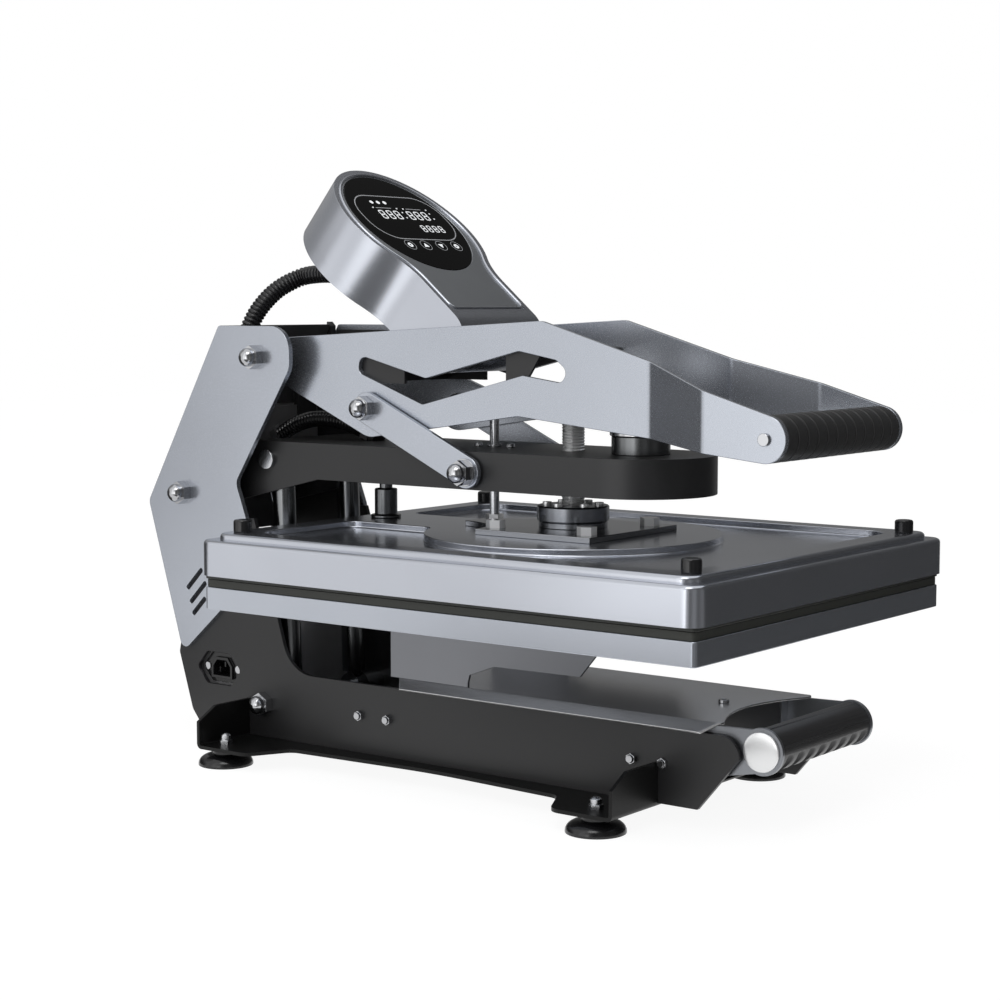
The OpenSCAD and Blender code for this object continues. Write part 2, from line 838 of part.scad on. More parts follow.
module inlet_outline(inset) {
    size = [inlet_hole_w - 2 * inset, inlet_hole_h - 2 * inset];
    outline = spread(inlet_shares, [at(inlet_reach), inlet_z], size, 0);
    polygon(rounded([for (p = outline) [p[0], p[1], inlet_hole_r]]));
}
module socket_outline(inset) {
    size = [inlet_socket_w - 2 * inset, inlet_socket_h - 2 * inset];
    polygon([for (p = spread(socket_shares, [at(inlet_reach), inlet_z], size, 0)) flat(p)]);
}
module power_inlet() {
    x = -box_half_w - inlet_flange_t;
    floor_x = x - inlet_collar_t + inlet_well;
    pin = inlet_pin;
    color("#111112") difference() {
        union() {
            across(x, inlet_flange_t) inlet_outline(inlet_edge);
            across(x - inlet_collar_t, inlet_body_len) socket_outline(0);
        }
        across(x - inlet_collar_t - cut, inlet_well + cut) socket_outline(inlet_socket_wall);
        for (side = [-1, 1])
            cross_bore([at(inlet_reach) + side * inlet_screw_x, inlet_z], small_screw_r, box_half_w + inlet_well);
    }
    color("#c7c2a8") for (p = inlet_pin_shares) translate([
        floor_x - pin[0],
        at(inlet_reach) + p[0] * inlet_socket_w - pin[1] / 2,
        inlet_z + p[1] * inlet_socket_h - pin[2] / 2
    ]) cube(pin);
}
module switch_hole(x, t, grow) {
    w = switch_w + 2 * grow;
    h = switch_h + 2 * grow;
    translate([x, at(inlet_reach) - w / 2, inlet_z - h / 2]) cube([t, w, h]);
}
module switch_bezel() {
    color("#0f0f10") difference() {
        union() {
            switch_hole(frame_half_w, bezel_t, bezel_lip);
            switch_hole(frame_half_w - switch_depth, switch_depth, 0);
        }
        switch_hole(frame_half_w - switch_depth / 2, switch_depth, -bezel_lip);
        rocker_pin(running_fit);
    }
}
// The pin that the rocker turns on ends in the bezel's two side walls.
module rocker_pin(grow) {
    translate([rocker_axis_x, at(inlet_reach) + rocker_pin_half, inlet_z]) rotate([90, 0, 0])
        cylinder(h = 2 * rocker_pin_half, r = rocker_pin_r + grow, $fn = 32);
}
// The rocker lies tilted to one side, with its axis sunk behind the bezel's face.
rocker_axis_x = frame_half_w - rocker_sink;
module switch_rocker() {
    w = switch_w - 2 * bezel_lip - 2 * rocker_gap;
    front = rocker_sink + bezel_t + rocker_proud;
    h = switch_h / 2 - bezel_lip - rocker_gap - front * sin(rocker_tilt);
    color("#8c1616") {
        rocker_pin(0);
        translate([rocker_axis_x, at(inlet_reach) + w / 2, inlet_z]) rotate([90, rocker_tilt, 0])
            linear_extrude(w) polygon(rounded([
                [0, -h / 2, 0], [front / 2, -h, rocker_gap], [front, -h, rocker_gap],
                [front - rocker_proud / 2, 0, 0], [front, h, rocker_gap], [front / 2, h, rocker_gap], [0, h / 2, 0]
            ]));
    }
}

// Shafts and fasteners of the frame

module cross_shafts() {
    color("#9da0a4") {
        for (p = [handle_pivot, beam_pivot]) {
            x_rod(p, shaft_r, -cheek_x, cheek_x);
            both_sides() x_rod(p, spacer_r, arm_half_w + face_gap, frame_inner);
        }
        x_rod(strut_foot, pin_r, -frame_half_w, frame_half_w);
        both_sides() x_rod(strut_foot, spacer_r, strut_x + eye_w / 2 + face_gap, frame_inner);
    }
}
module frame_fasteners() {
    color("#d4d6da") {
        both_sides() {
            right_nut(handle_pivot, cheek_x);
            right_nut(beam_pivot, cheek_x);
            right_nut(strut_foot, frame_half_w);
            for (y = rail_bolt_places) {
                right_nut([y, rail_z], frame_half_w, small_nut_r, small_nut_h, small_nut_h / 2);
                x_rod([y, rail_z], small_screw_r, frame_inner - rail_t, frame_half_w);
            }
        }
        for (side = [-1, 1])
            translate([-box_half_w - inlet_flange_t, at(inlet_reach) + side * inlet_screw_x, inlet_z])
                rotate([0, -90, 0]) cylinder(h = inlet_screw_h, r = inlet_screw_r);
    }
}

// Slide rails: outer on the frame, middle floating, inner on the drawer

module rail_section(half_h, x_web, x_lip) {
    wall = x_web > x_lip ? rail_t : -rail_t;
    linear_extrude(rail_len) polygon([
        [x_web, -half_h], [x_lip, -half_h], [x_lip, rail_t - half_h], [x_web - wall, rail_t - half_h],
        [x_web - wall, half_h - rail_t], [x_lip, half_h - rail_t], [x_lip, half_h], [x_web, half_h]
    ]);
}
module rail_pair(half_h, x_web, x_lip) {
    both_sides() translate([0, at(rail_front_reach) + rail_len, rail_z]) rotate([90, 0, 0])
        rail_section(half_h, x_web, x_lip);
}
rail_in = frame_inner - rail_depth;
module rails_outer() {
    color("#a9acb0") difference() {
        rail_pair(rail_half_h, frame_inner, rail_in + rail_t);
        rail_holes();
    }
}
module rails_middle() {
    color("#b4b7bb") rail_pair(rail_half_h - rail_t - rail_gap, frame_inner - rail_t - rail_gap, rail_in + rail_t);
}
module rails_inner() {
    color("#a9acb0")
        rail_pair(rail_half_h - 2 * (rail_t + rail_gap), rail_in, frame_inner - 2 * (rail_t + rail_gap));
}

// Gas struts

strut_len = norm(strut_top - strut_foot);
strut_lean = atan2(strut_top[0] - strut_foot[0], strut_top[1] - strut_foot[1]);
tube_top = tube_start + strut_tube_len;
module on_struts() {
    for (x = [-1, 1]) translate([x * strut_x, strut_foot[0], strut_foot[1]]) rotate([-strut_lean, 0, 0]) children();
}
module eye(r, w) {
    rotate([0, 90, 0]) translate([0, 0, -w / 2]) cylinder(h = w, r = r);
}
module strut_tubes() {
    bore_z = tube_start + strut_wall;
    color("#161617") on_struts() difference() {
        union() {
            eye(foot_eye_r, eye_w);
            cylinder(h = tube_start, r = eye_w / 2);
            translate([0, 0, tube_start]) cylinder(h = strut_tube_len, r = strut_r);
        }
        eye(pin_r + running_fit, 2 * eye_w);
        translate([0, 0, bore_z]) cylinder(h = tube_top - strut_r / 2 - bore_z, r = strut_r - strut_wall);
        translate([0, 0, bore_z]) cylinder(h = tube_top, r = strut_rod_r + running_fit);
    }
}
module strut_rods() {
    low = tube_top - rod_hidden;
    color("#c8cacd") on_struts() difference() {
        union() {
            translate([0, 0, low]) cylinder(h = strut_len - low - pin_r - eye_clearance, r = strut_rod_r);
            translate([0, 0, low]) cylinder(h = piston_h, r = strut_r - strut_wall - running_fit);
            translate([0, 0, strut_len]) eye(eye_r, eye_w);
        }
        translate([0, 0, strut_len]) eye(pin_r + eye_clearance, 2 * eye_w);
    }
}

// Beam with its nut block, magnet and pins

module beam_plan(inset) {
    w = arm_half_w - inset;
    translate([0, nose_y]) circle(r = w, $fn = 96);
    translate([-w, nose_y]) square([2 * w, at(beam_rear_reach) - nose_y]);
}
module beam_lug() {
    hull() {
        translate(beam_pivot) circle(r = beam_lug_r);
        translate([at(beam_floor_reach), beam_z]) square([beam_rear_reach - beam_floor_reach, beam_h]);
    }
}
module beam() {
    color("#2a2b2d") difference() {
        union() {
            difference() {
                union() {
                    translate([0, 0, beam_z]) linear_extrude(beam_h) beam_plan(0);
                    both_sides() across(arm_half_w - beam_t, beam_t) beam_lug();
                }
                translate([0, 0, beam_z + beam_t]) linear_extrude(beam_h - 2 * beam_t) beam_plan(beam_t);
                translate([beam_t - arm_half_w, at(beam_floor_reach), beam_z - beam_h])
                    cube([2 * (arm_half_w - beam_t), beam_pivot_reach - beam_floor_reach, 2 * beam_h - beam_t]);
            }
            in_platen_place() translate([0, 0, beam_z]) cylinder(h = beam_h, r = nut_block_r);
            both_sides() x_rod(beam_pivot, beam_boss_r, arm_half_w - beam_boss_w, arm_half_w - beam_t);
            gland(heater_route[0], heater_route[1], face_gap, heater_stem);
        }
        in_platen_place() {
            translate([0, 0, beam_z - cut]) cylinder(h = beam_h + 2 * cut, r = screw_r + running_fit);
            translate([0, guide_rod_reach, beam_z - cut])
                cylinder(h = beam_h + 2 * cut, r = guide_rod_r + running_fit);
            translate([0, post_reach, beam_z - cut])
                cylinder(h = beam_t + 2 * cut, r = post_neck_r + running_fit);
        }
        cross_bore(beam_pivot, shaft_r + running_fit, arm_half_w + cut);
        cross_bore(strut_top, pin_r, arm_half_w + cut);
        cross_bore(link_foot, pin_r, arm_half_w + cut);
    }
}
module beam_pins() {
    color("#c4c6ca") {
        x_rod(strut_top, pin_r, -arm_half_w, arm_half_w);
        both_sides() {
            x_rod(strut_top, bolt_head_flat_r, arm_half_w, arm_half_w + bolt_head_flat_h);
            bolt_through_wall(link_foot, arm_half_w, arm_half_w - beam_t);
        }
        in_platen_place() translate([0, guide_rod_reach, beam_top]) {
            difference() {
                cylinder(h = bush_h, r = bush_r);
                translate([0, 0, -cut]) cylinder(h = bush_h + 2 * cut, r = guide_rod_r + running_fit);
            }
            for (side = [-1, 1])
                translate([0, side * bush_screw_reach, 0])
                    cylinder(h = bush_screw_h, r1 = bush_screw_r, r2 = bush_screw_r * bush_screw_taper_share);
        }
    }
}
// A bolt whose head bears on the inner face of a wall.
module bolt_through_wall(place, outer, inner) {
    x_rod(place, pin_r, inner, outer);
    x_rod(place, bolt_head_flat_r, inner - bolt_head_flat_h, inner);
}
module electromagnet() {
    color("#101011") translate([0, nose_y, beam_top]) difference() {
        cylinder(h = magnet_h, r = magnet_r);
        translate([0, 0, magnet_h - magnet_groove_d]) difference() {
            cylinder(h = magnet_h, r = magnet_ring_r);
            translate([0, 0, -cut]) cylinder(h = magnet_h + 2 * cut, r = magnet_core_r);
        }
    }
}

// Heat platen, its cover and what is bolted to it

module heat_platen() {
    color("#3a3b3d") translate([0, platen_y, heat_z])
        slab(platen_w / 2, platen_d / 2, platen_corner_r, heat_platen_t);
}
// The recess in the cover's top runs round the disc, which a neck joins to the rear rim.
module recess_plan() {
    w = cover_half_w - cover_ledge_w - cover_rim_w;
    d = cover_half_d - cover_ledge_w - cover_rim_w;
    offset(r = neck_r) offset(delta = -neck_r) difference() {
        polygon(rounded([[-w, -d, recess_r], [w, -d, recess_r], [w, d, recess_r], [-w, d, recess_r]]));
        offset(r = -neck_r) offset(delta = neck_r) union() {
            circle(r = plateau_r, $fn = 128);
            translate([-neck_w / 2, 0]) square([neck_w, cover_half_d]);
        }
    }
}
module platen_cover() {
    w = cover_half_w;
    d = cover_half_d;
    l = cover_ledge_w;
    color("#9a9ea6") translate([0, platen_y, cover_z]) difference() {
        union() {
            crowned_slab(w, d, cover_corner_r, cover_h - cover_step_h, cover_edge_r);
            crowned_slab(w - l, d - l, cover_corner_r, cover_h, cover_edge_r);
        }
        translate([0, 0, -cut]) slab(w - cover_t, d - cover_t, platen_corner_r, cover_hollow_h + cut);
        translate([0, 0, cover_h - recess_d]) linear_extrude(recess_d + cut) recess_plan();
    }
}
module pressure_plate() {
    w = plate_half_w;
    color("#6f7379") translate([0, platen_y, cover_top]) linear_extrude(pressure_plate_t) difference() {
        polygon([
            [-w, -plate_front], [w, -plate_front], [w, plate_side_rear], [tongue_half_w, tongue_rear],
            [-tongue_half_w, tongue_rear], [-w, plate_side_rear]
        ]);
        for (x = [-1, 1]) translate([x * w, tongue_rear]) circle(r = w - tongue_half_w);
    }
}
module platen_bolts() {
    z = cover_top + pressure_plate_t;
    color("#dfe1e4") in_platen_place() {
        for (x = [-1, 1], y = [-1, 1]) translate([x * bolt_grid, y * bolt_grid, z])
            cylinder(h = bolt_head_h, r = bolt_head_r, $fn = 6);
        for (i = [0:collar_screws - 1]) rotate(i * 360 / collar_screws)
            translate([collar_r * collar_screw_share, 0, z + collar_h]) difference() {
                cylinder(h = collar_screw_h, r = collar_screw_r);
                translate([0, 0, collar_screw_h / 2]) cylinder(h = collar_screw_h, r = collar_screw_r / 2, $fn = 6);
            }
        translate([0, guide_rod_reach, z]) difference() {
            cylinder(h = guide_nut_h, r = guide_nut_r, $fn = 6);
            translate([0, 0, -cut]) cylinder(h = guide_nut_h + 2 * cut, r = guide_rod_r);
        }
    }
}
module bearing_collar() {
    low = collar_r - collar_base_lip;
    color("#4a4c50") translate([0, platen_y, cover_top + pressure_plate_t]) difference() {
        rotate_extrude() polygon([
            [0, 0], [low, 0], [low, collar_base_h], [low - collar_groove, collar_base_h],
            [low - collar_groove, collar_base_h + collar_groove], [collar_r, collar_base_h + collar_groove],
            [collar_r, collar_h - collar_groove], [collar_r - collar_groove, collar_h], [0, collar_h]
        ]);
        translate([0, 0, collar_floor]) cylinder(h = collar_h, r = screw_r + running_fit);
    }
}
module guide_rod() {
    z = cover_top + pressure_plate_t;
    color("#c9cbce") translate([0, platen_y + guide_rod_reach, z])
        cylinder(h = guide_rod_top - z, r = guide_rod_r);
}
module rear_guide_post() {
    color("#1b1b1c") translate([0, platen_y + post_reach, cover_top]) {
        cylinder(h = post_foot_h, r = post_foot_r);
        cylinder(h = post_h, r = post_r);
        cylinder(h = post_h + post_neck_h, r = post_neck_r);
    }
}
module corner_caps() {
    x = cover_half_w - cap_inset_x;
    y = cover_half_d - cap_inset_y;
    top_r = cap_r * 0.85;
    color("#0f0f10") for (i = [-1, 1], j = [-1, 1]) translate([i * x, platen_y + j * y, cover_top])
        rotate_extrude() polygon([
            [0, 0], [cap_r, 0], [cap_r, cap_h + top_r - cap_r], [top_r, cap_h], [0, cap_h]
        ]);
}
module pressure_screw() {
    z = cover_top + pressure_plate_t + collar_floor + face_gap;
    color("#b9bcc0") translate([0, platen_y, z]) cylinder(h = screw_top - z, r = screw_r);
}
module pressure_knob() {
    color("#121213") translate([0, platen_y, knob_z]) difference() {
        hull() {
            translate([0, 0, knob_edge_r]) cylinder(h = knob_h - 2 * knob_edge_r, r = knob_r, $fn = 32);
            cylinder(h = knob_h, r = knob_r - knob_edge_r, $fn = 32);
        }
        for (i = [0:knob_lobes - 1]) rotate(i * 360 / knob_lobes)
            translate([knob_r + knob_lobe_r / 2, 0, -cut]) cylinder(h = knob_h + 2 * cut, r = knob_lobe_r);
        translate([0, 0, -cut]) cylinder(h = knob_h + 2 * cut, r = screw_r);
    }
}

// Handle

function on_round(centre, r, shares) = [centre[0] + r * shares[0], centre[1] + r * shares[1], 0];
// Points round the end of a plate, clockwise from one touching point to the other.
function round_end(centre, r, from, to) =
    let (first = atan2(from[1], from[0]), turn = (first - atan2(to[1], to[0]) + 720) % 360)
    [for (i = [0:end_steps]) let (a = first - turn * i / end_steps) on_round(centre, r, [cos(a), sin(a)])];
module handle_outline() {
    polygon(rounded([
        [at(shoulder_reach), grip_z + handle_rise, shoulder_r],
        each round_end(handle_pivot, pivot_end_r, pivot_top_shares, pivot_low_shares),
        each round_end(link_top, lobe_r, lobe_rear_shares, lobe_front_shares),
        [at(waist_end_reach), waist_end_z, shoulder_r],
        each round_end(grip_axis, grip_r, grip_low_shares, grip_top_shares)
    ]));
}
module handle_window() {
    polygon(rounded(spread(
        window_shares, grip_axis, [handle_pivot_reach - grip_reach, handle_rise], window_r
    )));
}
// Seen from above, the plate steps out from the beam to the grip in two bends.
module handle_plan() {
    polygon(rounded([
        [arm_half_w, handle_pivot[0] + pivot_end_r + cut, 0],
        [arm_half_w, at(flare_start_reach), flare_bend_r],
        [grip_half_w, at(flare_end_reach), flare_bend_r],
        [grip_half_w, grip_axis[0] - grip_r - cut, 0],
        [grip_half_w - handle_plate_t, grip_axis[0] - grip_r - cut, 0],
        [grip_half_w - handle_plate_t, at(flare_end_reach), flare_bend_r],
        [arm_half_w - handle_plate_t, at(flare_start_reach), flare_bend_r],
        [arm_half_w - handle_plate_t, handle_pivot[0] + pivot_end_r + cut, 0]
    ]));
}
module handle_plate() {
    difference() {
        intersection() {
            across(0, grip_half_w + cut) difference() {
                handle_outline();
                handle_window();
            }
            linear_extrude(grip_z + 2 * handle_rise) handle_plan();
        }
        cross_bore(handle_pivot, shaft_r + running_fit, arm_half_w + cut);
        cross_bore(link_top, pin_r, arm_half_w + cut);
        cross_bore(grip_axis, small_screw_r, grip_half_w + cut);
    }
}
module handle_plate_right() { color("#b4b8c0") handle_plate(); }
module handle_plate_left() { color("#b4b8c0") mirror([1, 0, 0]) handle_plate(); }
module handle_bridge() {
    w = arm_half_w - handle_plate_t;
    f = at(bridge_front_reach);
    b = at(bridge_rear_reach);
    color("#161718") difference() {
        across(-w, 2 * w) polygon(rounded([
            [f, bridge_top_z, bridge_t], [f + bridge_nose_r, bridge_low_z, bridge_nose_r],
            [b, bridge_low_z, bridge_t], [b, bridge_top_z, bridge_t]
        ]));
        translate([bridge_t - w, f - cut, bridge_low_z - cut])
            cube([2 * (w - bridge_t), b - f - bridge_t + cut, bridge_top_z - bridge_low_z - bridge_t + cut]);
        across(-arm_half_w, 2 * arm_half_w) intersection() {
            handle_window();
            translate([at(bridge_window_front_reach), bridge_low_z - cut])
                square([bridge_window_rear_reach - bridge_window_front_reach, bridge_top_z - bridge_low_z]);
        }
        head_solid(face_gap);
    }
}
module armature_bracket() {
    w = arm_half_w - handle_plate_t;
    z = beam_top + magnet_h + face_gap + armature_t;
    color("#3c3e41") translate([0, nose_y, z]) {
        cylinder(h = bracket_rise, r = bracket_boss_r);
        translate([0, 0, bracket_rise]) difference() {
            translate([-w, -bracket_len / 2, 0]) cube([2 * w, bracket_len, bracket_ear_h + bracket_t]);
            translate([bracket_t - w, -bracket_len / 2 - cut, bracket_t])
                cube([2 * (w - bracket_t), bracket_len + 2 * cut, bracket_ear_h + cut]);
        }
    }
}
module armature_disc() {
    z = beam_top + magnet_h + face_gap;
    color("#d5d7da") translate([0, nose_y, z]) cylinder(h = armature_t, r = magnet_r + armature_over);
}
module grip_core() {
    w = grip_half_w - handle_plate_t;
    color("#55575b") difference() {
        x_rod(grip_axis, core_r, -w, w);
        cross_bore(grip_axis, small_screw_r, w + cut);
    }
}
module handle_grip() {
    w = grip_half_w - handle_plate_t;
    pitch = 2 * w / rib_count;
    color("#151516") translate([0, grip_axis[0], grip_z]) rotate([0, 90, 0]) translate([0, 0, -w])
        rotate_extrude() polygon(concat(
            [[core_r, 0], [grip_r - grip_edge_r, 0], [grip_r, grip_edge_r]],
            [for (i = [1:rib_count - 1]) each [
                [grip_r, i * pitch - rib_groove_w], [grip_r - rib_groove, i * pitch],
                [grip_r, i * pitch + rib_groove_w]
            ]],
            [[grip_r, 2 * w - grip_edge_r], [grip_r - grip_edge_r, 2 * w], [core_r, 2 * w]]
        ));
}
module handle_bolts() {
    inner = arm_half_w - handle_plate_t;
    nut_x = arm_half_w + washer_t + link_t + face_gap;
    color("#d0d2d6") both_sides() {
        bolt_through_wall(link_top, nut_x, inner);
        x_rod(link_top, washer_r, arm_half_w, arm_half_w + washer_t - face_gap);
        right_nut(link_top, nut_x);
        x_rod(grip_axis, grip_bolt_r, grip_half_w, grip_half_w + grip_bolt_h);
        x_rod(grip_axis, small_screw_r, grip_half_w - grip_screw_len, grip_half_w);
    }
}

// Control head: drawn lying down, face up, then tilted about the lower end of its face

module head_place() {
    translate([0, at(head_reach), head_z]) rotate([head_tilt, 0, 0]) children();
}
module head_plan(grow) {
    offset(delta = grow) offset(r = -head_blend_r) offset(delta = head_blend_r) union() {
        translate([0, head_rise]) circle(r = head_r, $fn = 96);
        translate([-stem_half_w, -head_depth]) square([2 * stem_half_w, head_rise + head_depth]);
    }
}
module head_side(grow) {
    low = -head_depth / 2;
    offset(delta = grow) union() {
        translate([0, low]) circle(r = head_depth / 2);
        polygon(rounded([
            [0, -head_depth, 0], [head_rise + head_r, -head_depth, head_back_r],
            [head_rise + head_r, 0, 0], [0, 0, 0]
        ]));
    }
}
module head_solid(grow) {
    head_place() intersection() {
        translate([0, 0, -head_depth - grow]) linear_extrude(head_depth + 2 * grow) head_plan(grow);
        across(-head_r - cut, 2 * (head_r + cut)) head_side(grow);
    }
}
// The parting line runs down the sides from the top of the head to the back of the stem.
module behind_seam(shift) {
    v0 = head_rise + head_r + cut;
    v1 = 0;
    across(-head_r - 2 * cut, 2 * (head_r + 2 * cut)) polygon([
        [v0, -seam_top_depth - shift], [v1, -seam_bottom_depth - shift],
        [v1, -head_depth - 2 * head_back_r], [v0, -head_depth - 2 * head_back_r]
    ]);
}
module head_cavity() {
    intersection() {
        translate([0, 0, head_wall - head_depth]) linear_extrude(head_depth - head_wall - face_t - face_drop)
            head_plan(-head_wall);
        across(-head_r, 2 * head_r) offset(delta = -head_wall) head_side(0);
    }
}
module face_plan(grow) {
    intersection() {
        head_plan(grow - face_margin);
        translate([-head_r, face_margin - grow]) square([2 * head_r, head_rise + head_r]);
    }
}
module head_shell() {
    color("#a9adb5") difference() {
        head_solid(0);
        head_place() {
            behind_seam(0);
            head_cavity();
            translate([0, 0, -face_t - face_drop]) linear_extrude(face_t + face_drop + cut) face_plan(0);
        }
    }
}
module head_back() {
    color("#9ea2aa") difference() {
        union() {
            intersection() {
                head_solid(0);
                head_place() behind_seam(0);
            }
            gland(control_route[0], control_route[1], face_gap, control_stem);
        }
        head_place() head_cavity();
    }
}
module head_face() {
    color("#4f5359") head_place() difference() {
        translate([0, 0, -face_t - face_drop]) linear_extrude(face_t) face_plan(0);
        translate([0, glass_rise, -glass_t - face_drop]) cylinder(h = glass_t + cut, r = glass_r + glass_gap);
    }
}
module display_glass() {
    color("#08090a") head_place() translate([0, glass_rise, -glass_t - face_drop])
        cylinder(h = glass_t, r = glass_r);
}
module control_board() {
    b = board_size;
    d = display_size;
    back = face_t + face_drop;
    color("#1d5c35") head_place() translate([0, glass_rise, -board_depth]) {
        translate([-b[0] / 2, -b[1] / 2, 0]) cube(b);
        translate([-d[0] / 2, -d[1] / 2, b[2]]) cube([d[0], d[1], board_depth - b[2] - back]);
        for (x = [-1, 1], y = [-1, 1])
            translate([x * (b[0] / 2 - board_post_inset), y * (b[1] / 2 - board_post_inset), 0])
                cylinder(h = board_depth - back, r = board_post_r, $fn = 24);
    }
}

// Links from the handle to the beam

module link_arms() {
    x = arm_half_w + washer_t;
    color("#b6bac2") both_sides() difference() {
        across(x, link_t) hull() {
            translate(link_top) circle(r = link_r);
            translate(link_foot) circle(r = link_r);
        }
        cross_bore(link_top, pin_r + running_fit, x + link_t + cut);
        cross_bore(link_foot, pin_r, x + link_t + cut);
    }
}
module link_nuts() {
    x = arm_half_w + washer_t;
    color("#d4d6da") both_sides() {
        x_rod(link_foot, pin_r, arm_half_w + face_gap, x + link_t);
        x_rod(link_foot, washer_r, arm_half_w + face_gap, x);
        x_rod(link_foot, washer_r, x + link_t, x + link_t + washer_t);
        right_nut(link_foot, x + link_t + washer_t);
    }
}

// Drawer

module drawer_plan() {
    ear = at(drawer_ear_reach);
    rear = at(drawer_rear_reach);
    edge = cutout_half_w + cutout_ear;
    rear_w = drawer_half_w * drawer_rear_share;
    arc = [for (i = [0:cutout_steps]) let (s = 1 - 2 * i / cutout_steps)
        [-cutout_half_w * s, ear + cutout_depth * (1 - s * s)]];
    polygon(concat(
        [[-drawer_half_w, at(drawer_side_rear_reach)], [-drawer_half_w, at(drawer_front_reach)], [-edge, ear]],
        arc,
        [
            [edge, ear], [drawer_half_w, at(drawer_front_reach)], [drawer_half_w, at(drawer_side_rear_reach)],
            [rear_w, rear], [-rear_w, rear]
        ]
    ));
}
module drawer_cover() {
    path = [
        [drawer_half_w, drawer_z - skirt_drop], [drawer_flat_half_w, drawer_z],
        [-drawer_flat_half_w, drawer_z], [-drawer_half_w, drawer_z - skirt_drop]
    ];
    color("#48494b") intersection() {
        translate([0, at(drawer_rear_reach), 0]) rotate([90, 0, 0])
            linear_extrude(drawer_rear_reach - drawer_ear_reach) polygon(strip(path, drawer_t));
        linear_extrude(2 * drawer_z) drawer_plan();
    }
}
module drawer_tray() {
    top = drawer_z - drawer_t;
    f = at(tray_front_reach);
    b = at(tray_rear_reach);
    w = tray_half_w;
    color("#1d1e20") difference() {
        translate([-w, f, tray_low_z]) cube([2 * w, b - f, top - tray_low_z]);
        translate([drawer_t - w, f + drawer_t, tray_low_z + drawer_t])
            cube([2 * (w - drawer_t), b - f - 2 * drawer_t, top]);
    }
}
module platen_support() {
    f = at(support_front_reach);
    h = platen_z - drawer_z;
    depth = support_rear_reach - support_front_reach;
    color("#8c8f95") difference() {
        intersection() {
            across(-support_half_w, 2 * support_half_w)
                polygon(rounded(spread(support_shares, [f, drawer_z], [depth, h], 0)));
            translate([0, f + depth, 0]) rotate([90, 0, 0]) linear_extrude(depth) polygon(rounded([
                [-support_half_w, drawer_z, 0], [support_half_w, drawer_z, 0],
                [support_half_w, platen_z, support_bend_r], [-support_half_w, platen_z, support_bend_r]
            ]));
        }
        translate([support_t - support_half_w, f - cut, drawer_z - cut])
            cube([2 * (support_half_w - support_t), depth + 2 * cut, h - support_t + cut]);
    }
}
module lower_platen() {
    color("#a6aab2") translate([0, platen_y, platen_z])
        slab(platen_w / 2, platen_d / 2, platen_corner_r, lower_platen_t);
}
module silicone_pad() {
    color("#262728") translate([0, platen_y, pad_z])
        slab(platen_w / 2 - pad_inset, platen_d / 2 - pad_inset, platen_corner_r, pad_t);
}
module drawer_brackets() {
    tail = at(bracket_tail_reach);
    top = drawer_z - drawer_t - bracket_drop;
    low = drawer_grip_z - ring_r * arm_tail_share;
    inner = tray_half_w - ring_t;
    color("#a4a8b0") both_sides() difference() {
        union() {
            across(bracket_x - ring_t, ring_t) {
                translate(drawer_grip_axis) circle(r = ring_r);
                polygon([
                    flat(on_round(drawer_grip_axis, ring_r, arm_top_shares)), [tail, top], [tail, low],
                    flat(on_round(drawer_grip_axis, ring_r, arm_low_shares))
                ]);
            }
            translate([inner, tail, low]) cube([bracket_x - inner, drawer_t, top - low]);
        }
        cross_bore(drawer_grip_axis, small_screw_r, bracket_x + cut);
    }
}
module drawer_grip() {
    w = bracket_x - ring_t;
    mid = (finger_count - 1) / 2;
    color("#1a1a1b") difference() {
        x_rod(drawer_grip_axis, drawer_grip_r, -w, w);
        for (i = [0:finger_count - 1])
            translate([(i - mid) * finger_pitch, drawer_grip_axis[0], drawer_grip_z]) rotate([-finger_tilt, 0, 0])
                translate([0, drawer_grip_r, -drawer_grip_r]) rotate([90, 0, 0])
                    cylinder(h = 2 * drawer_grip_r, r = finger_r, $fn = 24);
    }
}
module grip_caps() {
    rim = grip_cap_t - grip_cap_crown;
    color("#e8eaec") both_sides() translate([bracket_x, drawer_grip_axis[0], drawer_grip_z]) rotate([0, 90, 0])
        rotate_extrude() polygon(concat(
            [[0, 0], [grip_cap_r, 0], [grip_cap_r, rim]],
            [for (i = [1:6]) [grip_cap_r * cos(15 * i), rim + grip_cap_crown * sin(15 * i)]]
        ));
}
module drawer_screw() {
    color("#c8cacd") translate([0, at(cover_screw_reach), drawer_z]) difference() {
        cylinder(h = cover_screw_h, r = cover_screw_r);
        translate([0, 0, cover_screw_h / 2]) cylinder(h = cover_screw_h, r = cover_screw_r / 2, $fn = 6);
    }
}

// Ribbed hoses: a smooth curve through the route's points, swept by rings of eight

